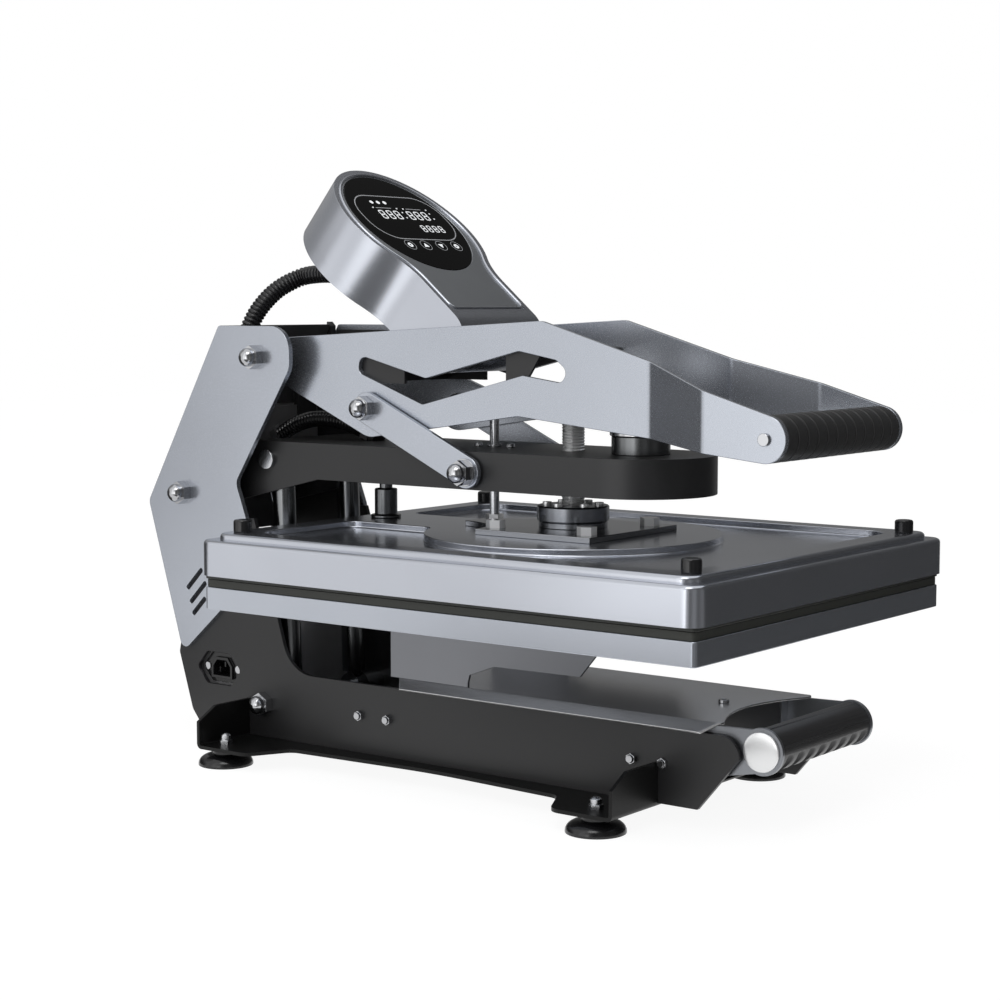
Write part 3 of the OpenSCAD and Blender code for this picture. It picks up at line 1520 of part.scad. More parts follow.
function blend(a, b, c, d, t) =
    0.5 * ((2 * b) + (c - a) * t + (2 * a - 5 * b + 4 * c - d) * t * t + (3 * b - a - 3 * c + d) * t * t * t);
function on_route(route, s) =
    let (
        n = len(route) - 1,
        k = min(floor(s * n), n - 1),
        t = s * n - k,
        a = k > 0 ? route[k - 1] : 2 * route[0] - route[1],
        d = k < n - 1 ? route[k + 2] : 2 * route[n] - route[n - 1]
    )
    blend(a, route[k], route[k + 1], d, t);
function ring(route, s, r, step) =
    let (
        p = on_route(route, s),
        t = unit(on_route(route, min(s + step, 1)) - on_route(route, max(s - step, 0))),
        u = unit(cross(t, [1, 0, 0])),
        w = cross(u, t)
    )
    [for (i = [0:ring_sides - 1]) p + r * (cos(360 * i / ring_sides) * u + sin(360 * i / ring_sides) * w)];
module ribbed_hose(route, ribs) {
    rings = 2 * ribs;
    bore_rings = ceil(ribs / 3);
    n = ring_sides;
    step = 1 / rings;
    outer = [for (i = [0:rings]) ring(route, i * step, hose_r - (i % 2 == 0 ? rib_depth : 0), step)];
    inner = [for (i = [bore_rings:-1:0]) ring(route, i / bore_rings, hose_bore_r, step)];
    points = [for (loop = concat(outer, inner)) each loop];
    loops = len(points) / n;
    polyhedron(points, [
        for (j = [0:loops - 1], i = [0:n - 1]) let (
            a = j * n + i,
            b = j * n + (i + 1) % n,
            c = ((j + 1) % loops) * n + (i + 1) % n,
            d = ((j + 1) % loops) * n + i
        ) each [[a, b, c], [a, c, d]]
    ]);
}
module control_hose() { color("#141415") ribbed_hose(control_route, control_ribs); }
module heater_hose() { color("#141415") ribbed_hose(heater_route, heater_ribs); }

base_pan();
side_plate_left();
side_plate_right();
cheek_left();
cheek_right();
rear_cover();
foot_pads();
foot_studs();
electronics_box();
relay();
wiring_box();
power_inlet();
switch_bezel();
switch_rocker();
cross_shafts();
frame_fasteners();
rails_outer();
rails_middle();
rails_inner();
strut_tubes();
strut_rods();
beam();
beam_pins();
electromagnet();
heat_platen();
platen_cover();
pressure_plate();
platen_bolts();
bearing_collar();
guide_rod();
rear_guide_post();
corner_caps();
pressure_screw();
pressure_knob();
handle_plate_left();
handle_plate_right();
handle_bridge();
armature_bracket();
armature_disc();
grip_core();
handle_grip();
handle_bolts();
head_shell();
head_back();
head_face();
display_glass();
control_board();
link_arms();
link_nuts();
drawer_cover();
drawer_tray();
platen_support();
lower_platen();
silicone_pad();
drawer_brackets();
drawer_grip();
grip_caps();
drawer_screw();
control_hose();
heater_hose();
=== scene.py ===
import json
import math

import bmesh
import bpy
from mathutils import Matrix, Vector
from mathutils.geometry import tessellate_polygon


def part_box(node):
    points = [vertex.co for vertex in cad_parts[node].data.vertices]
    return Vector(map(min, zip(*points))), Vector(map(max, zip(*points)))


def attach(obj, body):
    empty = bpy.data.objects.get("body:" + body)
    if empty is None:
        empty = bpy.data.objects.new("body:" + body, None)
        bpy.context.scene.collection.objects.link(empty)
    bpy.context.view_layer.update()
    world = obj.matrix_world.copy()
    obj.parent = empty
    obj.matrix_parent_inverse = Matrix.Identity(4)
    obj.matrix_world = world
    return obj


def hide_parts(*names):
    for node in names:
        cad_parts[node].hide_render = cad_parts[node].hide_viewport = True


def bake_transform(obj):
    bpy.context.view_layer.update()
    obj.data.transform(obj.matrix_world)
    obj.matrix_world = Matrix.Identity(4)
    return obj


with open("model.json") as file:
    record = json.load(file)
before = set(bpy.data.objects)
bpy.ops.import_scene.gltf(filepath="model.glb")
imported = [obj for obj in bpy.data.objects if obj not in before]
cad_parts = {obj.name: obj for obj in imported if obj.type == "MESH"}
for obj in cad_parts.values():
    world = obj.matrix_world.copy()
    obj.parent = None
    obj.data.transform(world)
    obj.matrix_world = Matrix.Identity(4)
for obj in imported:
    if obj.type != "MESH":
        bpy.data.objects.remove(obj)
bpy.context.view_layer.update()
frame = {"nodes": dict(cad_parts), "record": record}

MM = 0.001
PLATEN_Y = -87.25  # the platens' centre in the row frame, in millimetres


def at(x, reach, z):
    """A point given in millimetres, by its reach behind the platens' centre."""
    return Vector((x, PLATEN_Y + reach, z)) * MM


def linked(name, data):
    """A new object in the scene."""
    made = bpy.data.objects.new(name, data)
    bpy.context.scene.collection.objects.link(made)
    return made


# Camera -----------------------------------------------------------------------------------------

CAMERA_PLACE = (-1.4853, -1.13765, 0.4208)
CAMERA_TURN = (84.65, 0.0, -52.73)  # degrees about X, Y and Z
CAMERA_LENS, CAMERA_SENSOR = 75.7, 36.0
CAMERA_CLIP = (0.05, 50.0)

cam_data = bpy.data.cameras.new("camera")
cam_data.lens = CAMERA_LENS
cam_data.sensor_width = CAMERA_SENSOR
cam_data.clip_start, cam_data.clip_end = CAMERA_CLIP
camera = linked("camera", cam_data)
camera.location = CAMERA_PLACE
camera.rotation_euler = [math.radians(a) for a in CAMERA_TURN]
bpy.context.scene.camera = camera

# Materials --------------------------------------------------------------------------------------

NOISE_DETAIL, NOISE_ROUGHNESS = 2.0, 0.5
CLOUD = (7.0, 3.0, 0.6)  # scale, detail and roughness of the slow changes of colour
CLOUD_LOW, CLOUD_HIGH = 0.3, 0.7
GRAIN_DETAIL, GRAIN_ROUGHNESS = 2.0, 0.55
PRINT_ROUGH, PRINT_DIM, PRINT_GRAIN = 0.4, 0.94, 4000.0


class Nodes:
    """A material's node tree, with short calls to add nodes and links."""

    def __init__(self, name):
        self.mat = bpy.data.materials.new(name)
        self.mat.use_nodes = True
        self.tree = self.mat.node_tree
        self.shader = self.tree.nodes["Principled BSDF"]
        self.where = self.add("TexCoord").outputs["Object"]

    def add(self, kind, **values):
        node = self.tree.nodes.new("ShaderNode" + kind)
        for key, value in values.items():
            setattr(node, key, value)
        return node

    def link(self, source, socket):
        self.tree.links.new(source, socket)

    def put(self, **values):
        for key, value in values.items():
            self.shader.inputs[key.replace("_", " ")].default_value = value

    def noise(self, scale, detail=NOISE_DETAIL, rough=NOISE_ROUGHNESS, stretch=None):
        node = self.add("TexNoise")
        node.inputs["Scale"].default_value = scale
        node.inputs["Detail"].default_value = detail
        node.inputs["Roughness"].default_value = rough
        place = self.where
        if stretch:
            mapping = self.add("Mapping")
            mapping.inputs["Scale"].default_value = stretch
            self.link(place, mapping.inputs["Vector"])
            place = mapping.outputs["Vector"]
        self.link(place, node.inputs["Vector"])
        return node.outputs["Fac"]

    def span(self, value, low, high, start=0.0, end=1.0):
        node = self.add("MapRange")
        node.inputs["From Min"].default_value = start
        node.inputs["From Max"].default_value = end
        node.inputs["To Min"].default_value = low
        node.inputs["To Max"].default_value = high
        self.link(value, node.inputs["Value"])
        return node.outputs["Result"]

    def mix(self, fac, a, b):
        node = self.add("Mix", data_type="RGBA")
        node.inputs["A"].default_value = (*a, 1.0)
        node.inputs["B"].default_value = (*b, 1.0)
        self.link(fac, node.inputs["Factor"])
        return node.outputs["Result"]

    def bump(self, height, strength, distance):
        node = self.add("Bump")
        node.inputs["Strength"].default_value = strength
        node.inputs["Distance"].default_value = distance
        self.link(height, node.inputs["Height"])
        self.link(node.outputs["Normal"], self.shader.inputs["Normal"])


def finish_of(
    name, colour, metal, rough, grain,
    vary=0.06, bump=0.1, depth=0.00002, stretch=None, spread=0.15, **values,
):
    """A surface with fine grain in its relief and gloss, and cloudy changes of its colour.

    vary and spread are the shares by which the colour and the roughness change, bump and depth
    the relief's strength and height, and values the shader's other inputs.
    """
    n = Nodes(name)
    n.put(Metallic=metal, **values)
    cloud = n.span(n.noise(*CLOUD), 0.0, 1.0, CLOUD_LOW, CLOUD_HIGH)
    dark = [c * (1 - vary) for c in colour]
    light = [min(1.0, c * (1 + vary)) for c in colour]
    n.link(n.mix(cloud, dark, light), n.shader.inputs["Base Color"])
    fine = n.noise(grain, GRAIN_DETAIL, GRAIN_ROUGHNESS, stretch)
    gloss = n.span(fine, rough * (1 - spread), rough * (1 + spread))
    n.link(gloss, n.shader.inputs["Roughness"])
    n.bump(fine, bump, depth)
    return n.mat


def coated(name, colour, metal, rough, **values):
    """Powder coat or metallic paint, with a very fine and shallow grain."""
    return finish_of(
        name, colour, metal, rough, grain=1500.0,
        vary=0.03, bump=0.01, depth=0.00001, spread=0.05, **values,
    )


def machined(name, colour, rough, stretch=(1.0, 1.0, 1.0)):
    """Bare or plated metal with fine tool marks along one direction."""
    return finish_of(
        name, colour, 1.0, rough, grain=240.0, vary=0.05, bump=0.06, depth=0.00001, stretch=stretch
    )


def moulded(name, colour, rough, grain=1400.0, bump=0.12):
    """Moulded plastic or rubber."""
    return finish_of(name, colour, 0.0, rough, grain, vary=0.08, bump=bump)


def printed(name, colour, glow):
    """Lit or printed marks on the glass."""
    n = Nodes(name)
    n.put(Roughness=PRINT_ROUGH, Emission_Color=(*colour, 1.0), Emission_Strength=glow)
    dim = [c * PRINT_DIM for c in colour]
    n.link(n.mix(n.noise(PRINT_GRAIN), dim, colour), n.shader.inputs["Base Color"])
    return n.mat


MATERIALS = {
    "silver_paint": coated("silver_paint", (0.455, 0.48, 0.53), 0.9, 0.27),
    "silver_cover": coated("silver_cover", (0.50, 0.52, 0.57), 0.95, 0.2),
    "silver_head": coated("silver_head", (0.50, 0.52, 0.57), 0.95, 0.2),
    # A darker copy of the silver paint: painted shade on the drawer's brackets.
    "silver_painted_shade": coated("silver_painted_shade", (0.27, 0.28, 0.30), 0.9, 0.3),
    # A still darker copy of the silver paint: painted shade on the platen's support.
    "silver_painted_deep_shade": coated("silver_painted_deep_shade", (0.20, 0.205, 0.22), 0.9, 0.3),
    "black_paint": coated("black_paint", (0.015, 0.015, 0.016), 0.0, 0.4),
    # A darker, less glossy copy of the black paint: painted shade on the base pan, which lies
    # under the machine.
    "pan_painted_shade": coated(
        "pan_painted_shade", (0.006, 0.006, 0.006), 0.0, 0.4, Specular_IOR_Level=0.22
    ),
    # A lighter, half metallic copy of the black paint: painted light and sheen on the rear cover
    # and the wiring box.
    "cover_painted_light": coated("cover_painted_light", (0.16, 0.16, 0.165), 0.5, 0.32),
    "box_paint": coated("box_paint", (0.40, 0.40, 0.41), 0.5, 0.32),
    # A light metallic copy of the black paint: painted reflection and sheen on the drawer's dark
    # cover.
    "drawer_painted_reflection": coated("drawer_painted_reflection", (0.63, 0.63, 0.635), 0.8, 0.26),
    "black_steel": machined("black_steel", (0.16, 0.165, 0.17), 0.24, (0.4, 0.4, 4.0)),
    "tube_steel": machined("tube_steel", (0.17, 0.175, 0.18), 0.2, (4.0, 4.0, 0.3)),
    "black_plastic": moulded("black_plastic", (0.012, 0.012, 0.013), 0.34),
    "black_gloss": moulded("black_gloss", (0.009, 0.009, 0.010), 0.2, 500.0, 0.04),
    "face_plastic": finish_of("face_plastic", (0.30, 0.315, 0.335), 0.8, 0.3, 1600.0),
    "red_plastic": moulded("red_plastic", (0.36, 0.012, 0.010), 0.22, 500.0),
    "relay_plastic": moulded("relay_plastic", (0.70, 0.70, 0.66), 0.4),
    "board": moulded("board", (0.02, 0.13, 0.05), 0.35, 260.0, 0.3),
    "rubber": moulded("rubber", (0.026, 0.026, 0.027), 0.36, 900.0, 0.1),
    "hose_rubber": moulded("hose_rubber", (0.014, 0.014, 0.015), 0.2, 700.0, 0.04),
    "silicone": moulded("silicone", (0.030, 0.032, 0.027), 0.55, 600.0, 0.2),
    "strip_coat": moulded("strip_coat", (0.026, 0.028, 0.024), 0.5, 600.0),
    "platen_alloy": coated("platen_alloy", (0.46, 0.485, 0.535), 0.92, 0.26),
    "zinc": machined("zinc", (0.60, 0.61, 0.63), 0.24),
    "chrome": machined("chrome", (0.46, 0.465, 0.48), 0.07),
    # A much lighter copy of the zinc: painted highlights on the platen's bolts and the pressure
    # screw's thread.
    "zinc_painted_highlight": finish_of("zinc_painted_highlight", (0.90, 0.905, 0.91), 0.6, 0.22, 400.0),
    "dark_steel": machined("dark_steel", (0.24, 0.25, 0.27), 0.24, (1.0, 1.0, 6.0)),
    "plate_steel": machined("plate_steel", (0.34, 0.35, 0.37), 0.2, (4.0, 0.3, 1.0)),
    "cap_white": finish_of("cap_white", (0.92, 0.925, 0.93), 0.65, 0.25, 900.0, vary=0.03),
    "glass": finish_of(
        "glass", (0.002, 0.002, 0.002), 0.0, 0.06, 60.0, vary=0.0, bump=0.0,
        Specular_IOR_Level=0.08,
    ),
    "digits": printed("digits", (0.82, 0.84, 0.86), 0.55),
    "frame_print": printed("frame_print", (0.42, 0.43, 0.45), 0.12),
}

# Meshes and pieces ------------------------------------------------------------------------------

BODY_OF = {
    node: body for body, nodes in frame["record"]["behaviour"]["bodies"].items() for node in nodes
}
JOIN_M = 1e-6  # vertices this near are one
FLAT_DEG = 0.3  # faces that meet at less are one
SHARP_DEG = 35.0
BEVEL_DEG, BEVEL_SEGMENTS = 28.0, 2
NORMAL_WEIGHT = 80
QUARTER = [math.radians(15 * i) for i in range(7)]  # a quarter turn, in steps


def circle(r, count, u=0.0, v=0.0):
    """The corners of a regular polygon round (u, v), anticlockwise."""
    turn = [2 * math.pi * i / count for i in range(count)]
    return [(u + r * math.cos(a), v + r * math.sin(a)) for a in turn]


def rounded_box(half_w, half_h, r, u=0.0, v=0.0, steps=8):
    """The outline of a rectangle with round corners round (u, v), anticlockwise."""
    out = []
    for corner, (cu, cv) in enumerate(((1, 1), (-1, 1), (-1, -1), (1, -1))):
        for i in range(steps + 1):
            a = math.pi / 2 * (corner + i / steps)
            across = u + cu * (half_w - r) + r * math.cos(a)
            out.append((across, v + cv * (half_h - r) + r * math.sin(a)))
    return out


def mesh_of(name, verts, faces, join=0.0):
    """A mesh from corners in metres, with every face turned outwards.

    Corners that lie nearer to each other than join become one.
    """
    mesh = bpy.data.meshes.new(name)
    mesh.from_pydata(verts, [], faces)
    work = bmesh.new()
    work.from_mesh(mesh)
    if join:
        bmesh.ops.remove_doubles(work, verts=work.verts, dist=join)
    bmesh.ops.recalc_face_normals(work, faces=work.faces)
    work.to_mesh(mesh)
    work.free()
    return mesh


def add_piece(name, mesh, material, body=None):
    """A visible piece with its finish, riding a body if one is named."""
    piece = linked(name, mesh)
    mesh.materials.clear()
    mesh.materials.append(MATERIALS[material])
    if body:
        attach(piece, body)
    return piece


def set_shading(mesh, degrees):
    """Smooth shading, apart from the edges where faces meet at more than this."""
    for polygon in mesh.polygons:
        polygon.use_smooth = True
    mesh.set_sharp_from_angle(angle=math.radians(degrees))


def weigh_normals(piece):
    """Keeps flat faces flat where they meet small rounded ones."""
    weighted = piece.modifiers.new("normals", "WEIGHTED_NORMAL")
    weighted.keep_sharp = True
    weighted.weight = NORMAL_WEIGHT


def soften(piece, width):
    """Rounds a piece's sharp edges by a bevel of that width, in millimetres."""
    bevel = piece.modifiers.new("edges", "BEVEL")
    bevel.width = width * MM
    bevel.segments = BEVEL_SEGMENTS
    bevel.limit_method = "ANGLE"
    bevel.angle_limit = math.radians(BEVEL_DEG)
    bevel.miter_outer = "MITER_ARC"
    weigh_normals(piece)


def joined(node):
    """A working mesh of a CAD node, with its split vertices joined."""
    work = bmesh.new()
    work.from_mesh(frame["nodes"][node].data)
    bmesh.ops.remove_doubles(work, verts=work.verts, dist=JOIN_M)
    return work


def merge_flat(work):
    """Makes one face of those that lie in one plane."""
    bmesh.ops.dissolve_limit(
        work,
        angle_limit=math.radians(FLAT_DEG),
        verts=work.verts,
        edges=work.edges,
        delimit={"NORMAL"},
    )


def dress(node, material, width, work=None, sharp=SHARP_DEG):
    """A copy of a CAD node that stands for it, with its edges softened by a width in millimetres.

    work is a changed mesh of the node. With no width the mesh keeps its faces, and with no sharp
    angle the creases that are set in it.
    """
    mesh = bpy.data.meshes.new(node + "_edged")
    work = work or joined(node)
    if width:
        merge_flat(work)
    work.to_mesh(mesh)
    work.free()
    if sharp:
        set_shading(mesh, sharp)
    piece = add_piece(node + "_edged", mesh, material, BODY_OF[node])
    if width:
        soften(piece, width)
    else:
        weigh_normals(piece)
    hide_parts(node)


# Copies of the CAD nodes: the finish, and the width of the softened edges -----------------------

DRESSED = {
    "base_pan": ("pan_painted_shade", 0.5),
    "side_plate_left": ("black_paint", 0.5),
    "side_plate_right": ("black_paint", 0.5),
    "cheek_left": ("silver_paint", 0.6),
    "cheek_right": ("silver_paint", 0.6),
    "rear_cover": ("cover_painted_light", 0.0),
    "foot_pads": ("black_gloss", 0.4),
    "foot_studs": ("zinc", 0.3),
    "electronics_box": ("box_paint", 0.4),
    "relay": ("relay_plastic", 0.6),
    "wiring_box": ("cover_painted_light", 0.4),
    "power_inlet": ("black_gloss", 0.4),
    "switch_bezel": ("black_plastic", 0.4),
    "switch_rocker": ("red_plastic", 0.5),
    "cross_shafts": ("zinc", 0.4),
    "frame_fasteners": ("chrome", 0.2),
    "rails_outer": ("zinc", 0.3),
    "rails_middle": ("zinc", 0.3),
    "rails_inner": ("zinc", 0.3),
    "strut_tubes": ("tube_steel", 0.4),
    "strut_rods": ("chrome", 0.3),
    "beam": ("black_paint", 0.6),
    "beam_pins": ("zinc", 0.4),
    "electromagnet": ("black_steel", 0.8),
    "heat_platen": ("strip_coat", 0.6),
    "pressure_plate": ("plate_steel", 0.5),
    "platen_bolts": ("zinc_painted_highlight", 0.4),
    "bearing_collar": ("dark_steel", 0.7),
    "guide_rod": ("zinc", 0.4),
    "rear_guide_post": ("black_steel", 0.8),
    "corner_caps": ("black_gloss", 1.0),
    "pressure_knob": ("black_plastic", 0.6),
    "handle_plate_left": ("silver_paint", 0.6),
    "handle_plate_right": ("silver_paint", 0.6),
    "handle_bridge": ("black_paint", 0.5),
    "armature_bracket": ("dark_steel", 0.5),
    "armature_disc": ("chrome", 0.6),
    "grip_core": ("zinc", 0.4),
    "handle_bolts": ("chrome", 0.4),
    "head_face": ("face_plastic", 0.5),
    "display_glass": ("glass", 0.6),
    "control_board": ("board", 0.2),
    "link_arms": ("silver_paint", 0.6),
    "link_nuts": ("chrome", 0.2),
    "drawer_cover": ("drawer_painted_reflection", 0.4),
    "drawer_tray": ("black_paint", 0.4),
    "platen_support": ("silver_painted_deep_shade", 0.5),
    "lower_platen": ("platen_alloy", 0.7),
    "silicone_pad": ("silicone", 0.6),
    "drawer_brackets": ("silver_painted_shade", 0.5),
    "drawer_grip": ("rubber", 0.0),
    "grip_caps": ("cap_white", 0.3),
    "drawer_screw": ("chrome", 0.4),
}
for node, (material, width) in DRESSED.items():
    dress(node, material, width)

# Handle's grip and pressure screw ---------------------------------------------------------------

LATHE_SIDES = 64
GRID_JOIN_M = 1e-7
GRIP_Y, GRIP_Z = PLATEN_Y - 246.0, 317.5
GRIP_R, GRIP_HALF, GRIP_RIBS = 18.5, 92.0, 12
GRIP_GROOVE, GRIP_GROOVE_HALF_W, GRIP_CROWN, GRIP_EDGE = 2.0, 0.8, 0.35, 2.5
EDGE_SHARE = 0.3  # where the edge at the grip's ends turns, as a share of its width
CROWN_SHARES = (0.1, 0.18, 0.3, 0.5, 0.7, 0.82, 0.9)  # where a rib's profile has its points
GRIP_SHARP_DEG = 40.0


def grid_mesh(name, rows, close=True):
    """A mesh through rows of points, each row a closed ring; the first and last are capped."""
    n = len(rows[0])
    faces = []
    for i in range(len(rows) - 1):
        for j in range(n):
            k = (j + 1) % n
            faces.append((i * n + j, i * n + k, (i + 1) * n + k, (i + 1) * n + j))
    if close:
        faces.append(tuple(range(n))[::-1])
        faces.append(tuple((len(rows) - 1) * n + j for j in range(n)))
    return mesh_of(name, [p for row in rows for p in row], faces, GRID_JOIN_M)


def grip_profile():
    """The grip's (x, radius) pairs: crowned ribs between narrow grooves, from end to end."""
    pitch = 2 * GRIP_HALF / GRIP_RIBS
    half, r, turn = GRIP_HALF, GRIP_R, EDGE_SHARE * GRIP_EDGE
    out = [(-half, r - GRIP_EDGE), (-half + turn, r - turn)]
    for i in range(GRIP_RIBS):
        start = -half + i * pitch
        for share in CROWN_SHARES:
            rise = GRIP_CROWN * (1 - (2 * share - 1) ** 4)
            out.append((start + share * pitch, r - GRIP_CROWN + rise))
        if i < GRIP_RIBS - 1:
            end, low = start + pitch, r - GRIP_GROOVE
            out += [(end - GRIP_GROOVE_HALF_W, low), (end + GRIP_GROOVE_HALF_W, low)]
    return out + [(half - turn, r - turn), (half, r - GRIP_EDGE)]


def make_grip():
    rows = []
    for x, r in grip_profile():
        ring = circle(r, LATHE_SIDES, GRIP_Y, GRIP_Z)
        rows.append([(x * MM, y * MM, z * MM) for y, z in ring])
    mesh = grid_mesh("handle_grip_ribbed", rows)
    set_shading(mesh, GRIP_SHARP_DEG)
    piece = add_piece("handle_grip_ribbed", mesh, "rubber", BODY_OF["handle_grip"])
    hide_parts("handle_grip")


SCREW_R, SCREW_CORE_R, SCREW_FOOT, SCREW_END_GAP = 10.0, 8.4, 238.0, 0.5
SCREW_R_SLACK = 0.2
THREAD_DEPTH, THREAD_PITCH, THREAD_SIDES, THREAD_STEPS = 0.9, 2.5, 48, 8
THREAD_FLANK = 1.25  # over 1, so that the crest has a flat
THREAD_SHARP_DEG = 50.0


def thread_rows(low, high):
    """Rings of a V thread about the line through the platens' centre, along Z."""
    rows = []
    for i in range(int((high - low) / THREAD_PITCH * THREAD_STEPS) + 1):
        z = low + i * THREAD_PITCH / THREAD_STEPS
        row = []
        for j in range(THREAD_SIDES):
            a = 2 * math.pi * j / THREAD_SIDES
            phase = (z / THREAD_PITCH - j / THREAD_SIDES) % 1.0
            crest = abs(2 * phase - 1)
            r = SCREW_R - THREAD_DEPTH + THREAD_DEPTH * min(1.0, THREAD_FLANK * crest)
            row.append((r * math.cos(a) * MM, (PLATEN_Y + r * math.sin(a)) * MM, z * MM))
        rows.append(row)
    return rows


def make_screw():
    """The CAD screw with a thinner core, and a threaded sleeve round it."""
    centre = PLATEN_Y * MM
    core = joined("pressure_screw")
    for v in core.verts:
        r = math.hypot(v.co.x, v.co.y - centre) / MM
        if abs(r - SCREW_R) < SCREW_R_SLACK:
            share = SCREW_CORE_R / r
            v.co.x *= share
            v.co.y = centre + (v.co.y - centre) * share
    dress("pressure_screw", "zinc", 0.0, work=core)
    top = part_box("pressure_screw")[1][2] / MM
    mesh = grid_mesh("pressure_thread", thread_rows(SCREW_FOOT, top - SCREW_END_GAP))
    set_shading(mesh, THREAD_SHARP_DEG)
    # The thread has the lighter zinc, with its painted highlights.
    add_piece("pressure_thread", mesh, "zinc_painted_highlight", BODY_OF["pressure_screw"])


make_grip()
make_screw()

# Cover of the heat platen -----------------------------------------------------------------------

COVER_CORNER_R, COVER_EDGE_R, COVER_LEDGE, COVER_STEP = 15.0, 3.5, 10.0, 5.5
COVER_SHEET, COVER_HOLLOW, COVER_CORNER_STEPS = 2.5, 22.0, 12
RECESS_DEPTH, RECESS_LIP, RECESS_FOOT = 6.0, 1.0, 1.5
COVER_JOIN_M = 5e-5  # the CAD cover's split vertices lie this near each other
LEVEL_M = 1e-5  # a vertex this near the cover's top lies in it
WALL_NORMAL_Z = 0.02  # a wall's normal has less than this along Z
COVER_SHARP_DEG = 40.0


def recess_outline(work, top):
    """The recess's edge in the CAD cover, anticlockwise about the platens' centre."""
    bmesh.ops.remove_doubles(work, verts=work.verts, dist=COVER_JOIN_M)
    near = {}
    for e in work.edges:
        if any(abs(v.co.z - top) > LEVEL_M for v in e.verts):
            continue
        if e.link_faces and min(abs(f.normal.z) for f in e.link_faces) < WALL_NORMAL_Z:
            a, b = e.verts
            near.setdefault(a, []).append(b)
            near.setdefault(b, []).append(a)
    start = next(iter(near))
    loop, last, here = [start], None, start
    while True:
        ahead = [v for v in near[here] if v is not last]
        if not ahead or ahead[0] is start:
            break
        last, here = here, ahead[0]
        loop.append(here)
    plan = [(v.co.x / MM, v.co.y / MM - PLATEN_Y) for v in loop]
    area = sum(p[0] * q[1] - q[0] * p[1] for p, q in zip(plan, plan[1:] + plan[:1]))
    return plan if area > 0 else plan[::-1]


def moved_out(plan, by):
    """An outline with each point moved outwards by that distance."""
    out = []
    for i, p in enumerate(plan):
        a, b = Vector(plan[i - 1]), Vector(plan[(i + 1) % len(plan)])
        along = (b - a).normalized()
        out.append((p[0] + along.y * by, p[1] - along.x * by))
    return out


def cover_plan(half_w, half_d, inset):
    """The cover's outline, drawn in by that distance."""
    r = COVER_CORNER_R - inset
    return rounded_box(half_w - inset, half_d - inset, r, steps=COVER_CORNER_STEPS)


def crown(half_w, half_d, z):
    """Rings of an upper edge rounded over, from its side to its top."""
    out = []
    for a in QUARTER:
        plan = cover_plan(half_w, half_d, COVER_EDGE_R * (1 - math.cos(a)))
        out.append((plan, z - COVER_EDGE_R * (1 - math.sin(a))))
    return out


def add_rings(verts, faces, rings):
    """Walls through rings of (plan, height); gives the first and the last ring's vertices."""
    first, n = len(verts), len(rings[0][0])
    for plan, z in rings:
        verts.extend((x * MM, (PLATEN_Y + y) * MM, z * MM) for x, y in plan)
    for i in range(len(rings) - 1):
        low, high = first + i * n, first + (i + 1) * n
        for j in range(n):
            k = (j + 1) % n
            faces.append((low + j, low + k, high + k, high + j))
    return list(range(first, first + n)), list(range(len(verts) - n, len(verts)))


def make_cover():
    """The pressed cover: rounded edges, a ledge round its rim and the CAD cover's recess."""
    low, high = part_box("platen_cover")
    base, top = low[2] / MM, high[2] / MM
    half_w, half_d = high[0] / MM, high[1] / MM - PLATEN_Y
    work = joined("platen_cover")
    recess = recess_outline(work, top * MM)
    work.free()

    hollow = cover_plan(half_w, half_d, COVER_SHEET)
    outer = [(hollow, base + COVER_HOLLOW), (hollow, base), (cover_plan(half_w, half_d, 0), base)]
    outer += crown(half_w, half_d, top - COVER_STEP)
    rim_w, rim_d = half_w - COVER_LEDGE, half_d - COVER_LEDGE
    outer += [(cover_plan(rim_w, rim_d, 0), top - COVER_STEP)] + crown(rim_w, rim_d, top)
    inner = []
    for a in QUARTER:
        lip = RECESS_LIP * (1 - math.sin(a))
        inner.append((moved_out(recess, lip), top - RECESS_LIP * (1 - math.cos(a))))
    for a in QUARTER:
        foot = -RECESS_FOOT * (1 - math.cos(a))
        height = top - RECESS_DEPTH + RECESS_FOOT * (1 - math.sin(a))
        inner.append((moved_out(recess, foot), height))

    verts, faces = [], []
    roof, outer_top = add_rings(verts, faces, outer)
    inner_top, floor_ring = add_rings(verts, faces, inner)
    faces.append(tuple(roof))
    for rings in ((outer_top, inner_top), (floor_ring,)):
        order = [i for ring in rings for i in ring]
        loops = [[Vector(verts[i]) for i in ring] for ring in rings]
        faces.extend(tuple(order[i] for i in tri) for tri in tessellate_polygon(loops))
    mesh = mesh_of("platen_cover_pressed", verts, faces)
    set_shading(mesh, COVER_SHARP_DEG)
    piece = add_piece("platen_cover_pressed", mesh, "silver_cover", BODY_OF["platen_cover"])
    weigh_normals(piece)
    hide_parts("platen_cover")


make_cover()

# Hoses ------------------------------------------------------------------------------------------

# Points of the hoses' middle lines in the row frame, from the body that they feed to the frame.
CONTROL_ROUTE = [
    (0, 151, 447), (0, 166, 447), (0, 187, 448), (0, 208, 448), (-4, 227, 445), (-22, 239, 434),
    (-38, 246, 418), (-48, 251, 400), (-50, 258, 380), (-49, 268, 362), (-48, 277, 346),
    (-48, 277, 331),
]
HEATER_ROUTE = [
    (0, 149, 301.5), (0, 164, 306.5), (0, 181, 310), (0, 198, 311.5), (0, 214, 311),
    (0, 229, 308), (0, 243, 302.8), (0, 256.5, 295.8),
]
HOSES = (  # the node, its route, the body that it feeds and its outer radius
    ("control_hose", CONTROL_ROUTE, "handle", 8.6),
    ("heater_hose", HEATER_ROUTE, "arm", 7.8),
)
RIB_PITCH, RIB_DEPTH, RIB_STEPS, HOSE_SIDES = 3.8, 1.3, 8, 24
CURVE_STEPS = 60  # between two points of a route
HOSE_SHARP_DEG = 60.0


def curve_point(a, b, c, d, t):
    """A point of the smooth curve from b to c, a share t of the way."""
    square, cube = 2 * a - 5 * b + 4 * c - d, 3 * b - a - 3 * c + d
    return 0.5 * ((2 * b) + (c - a) * t + square * t**2 + cube * t**3)


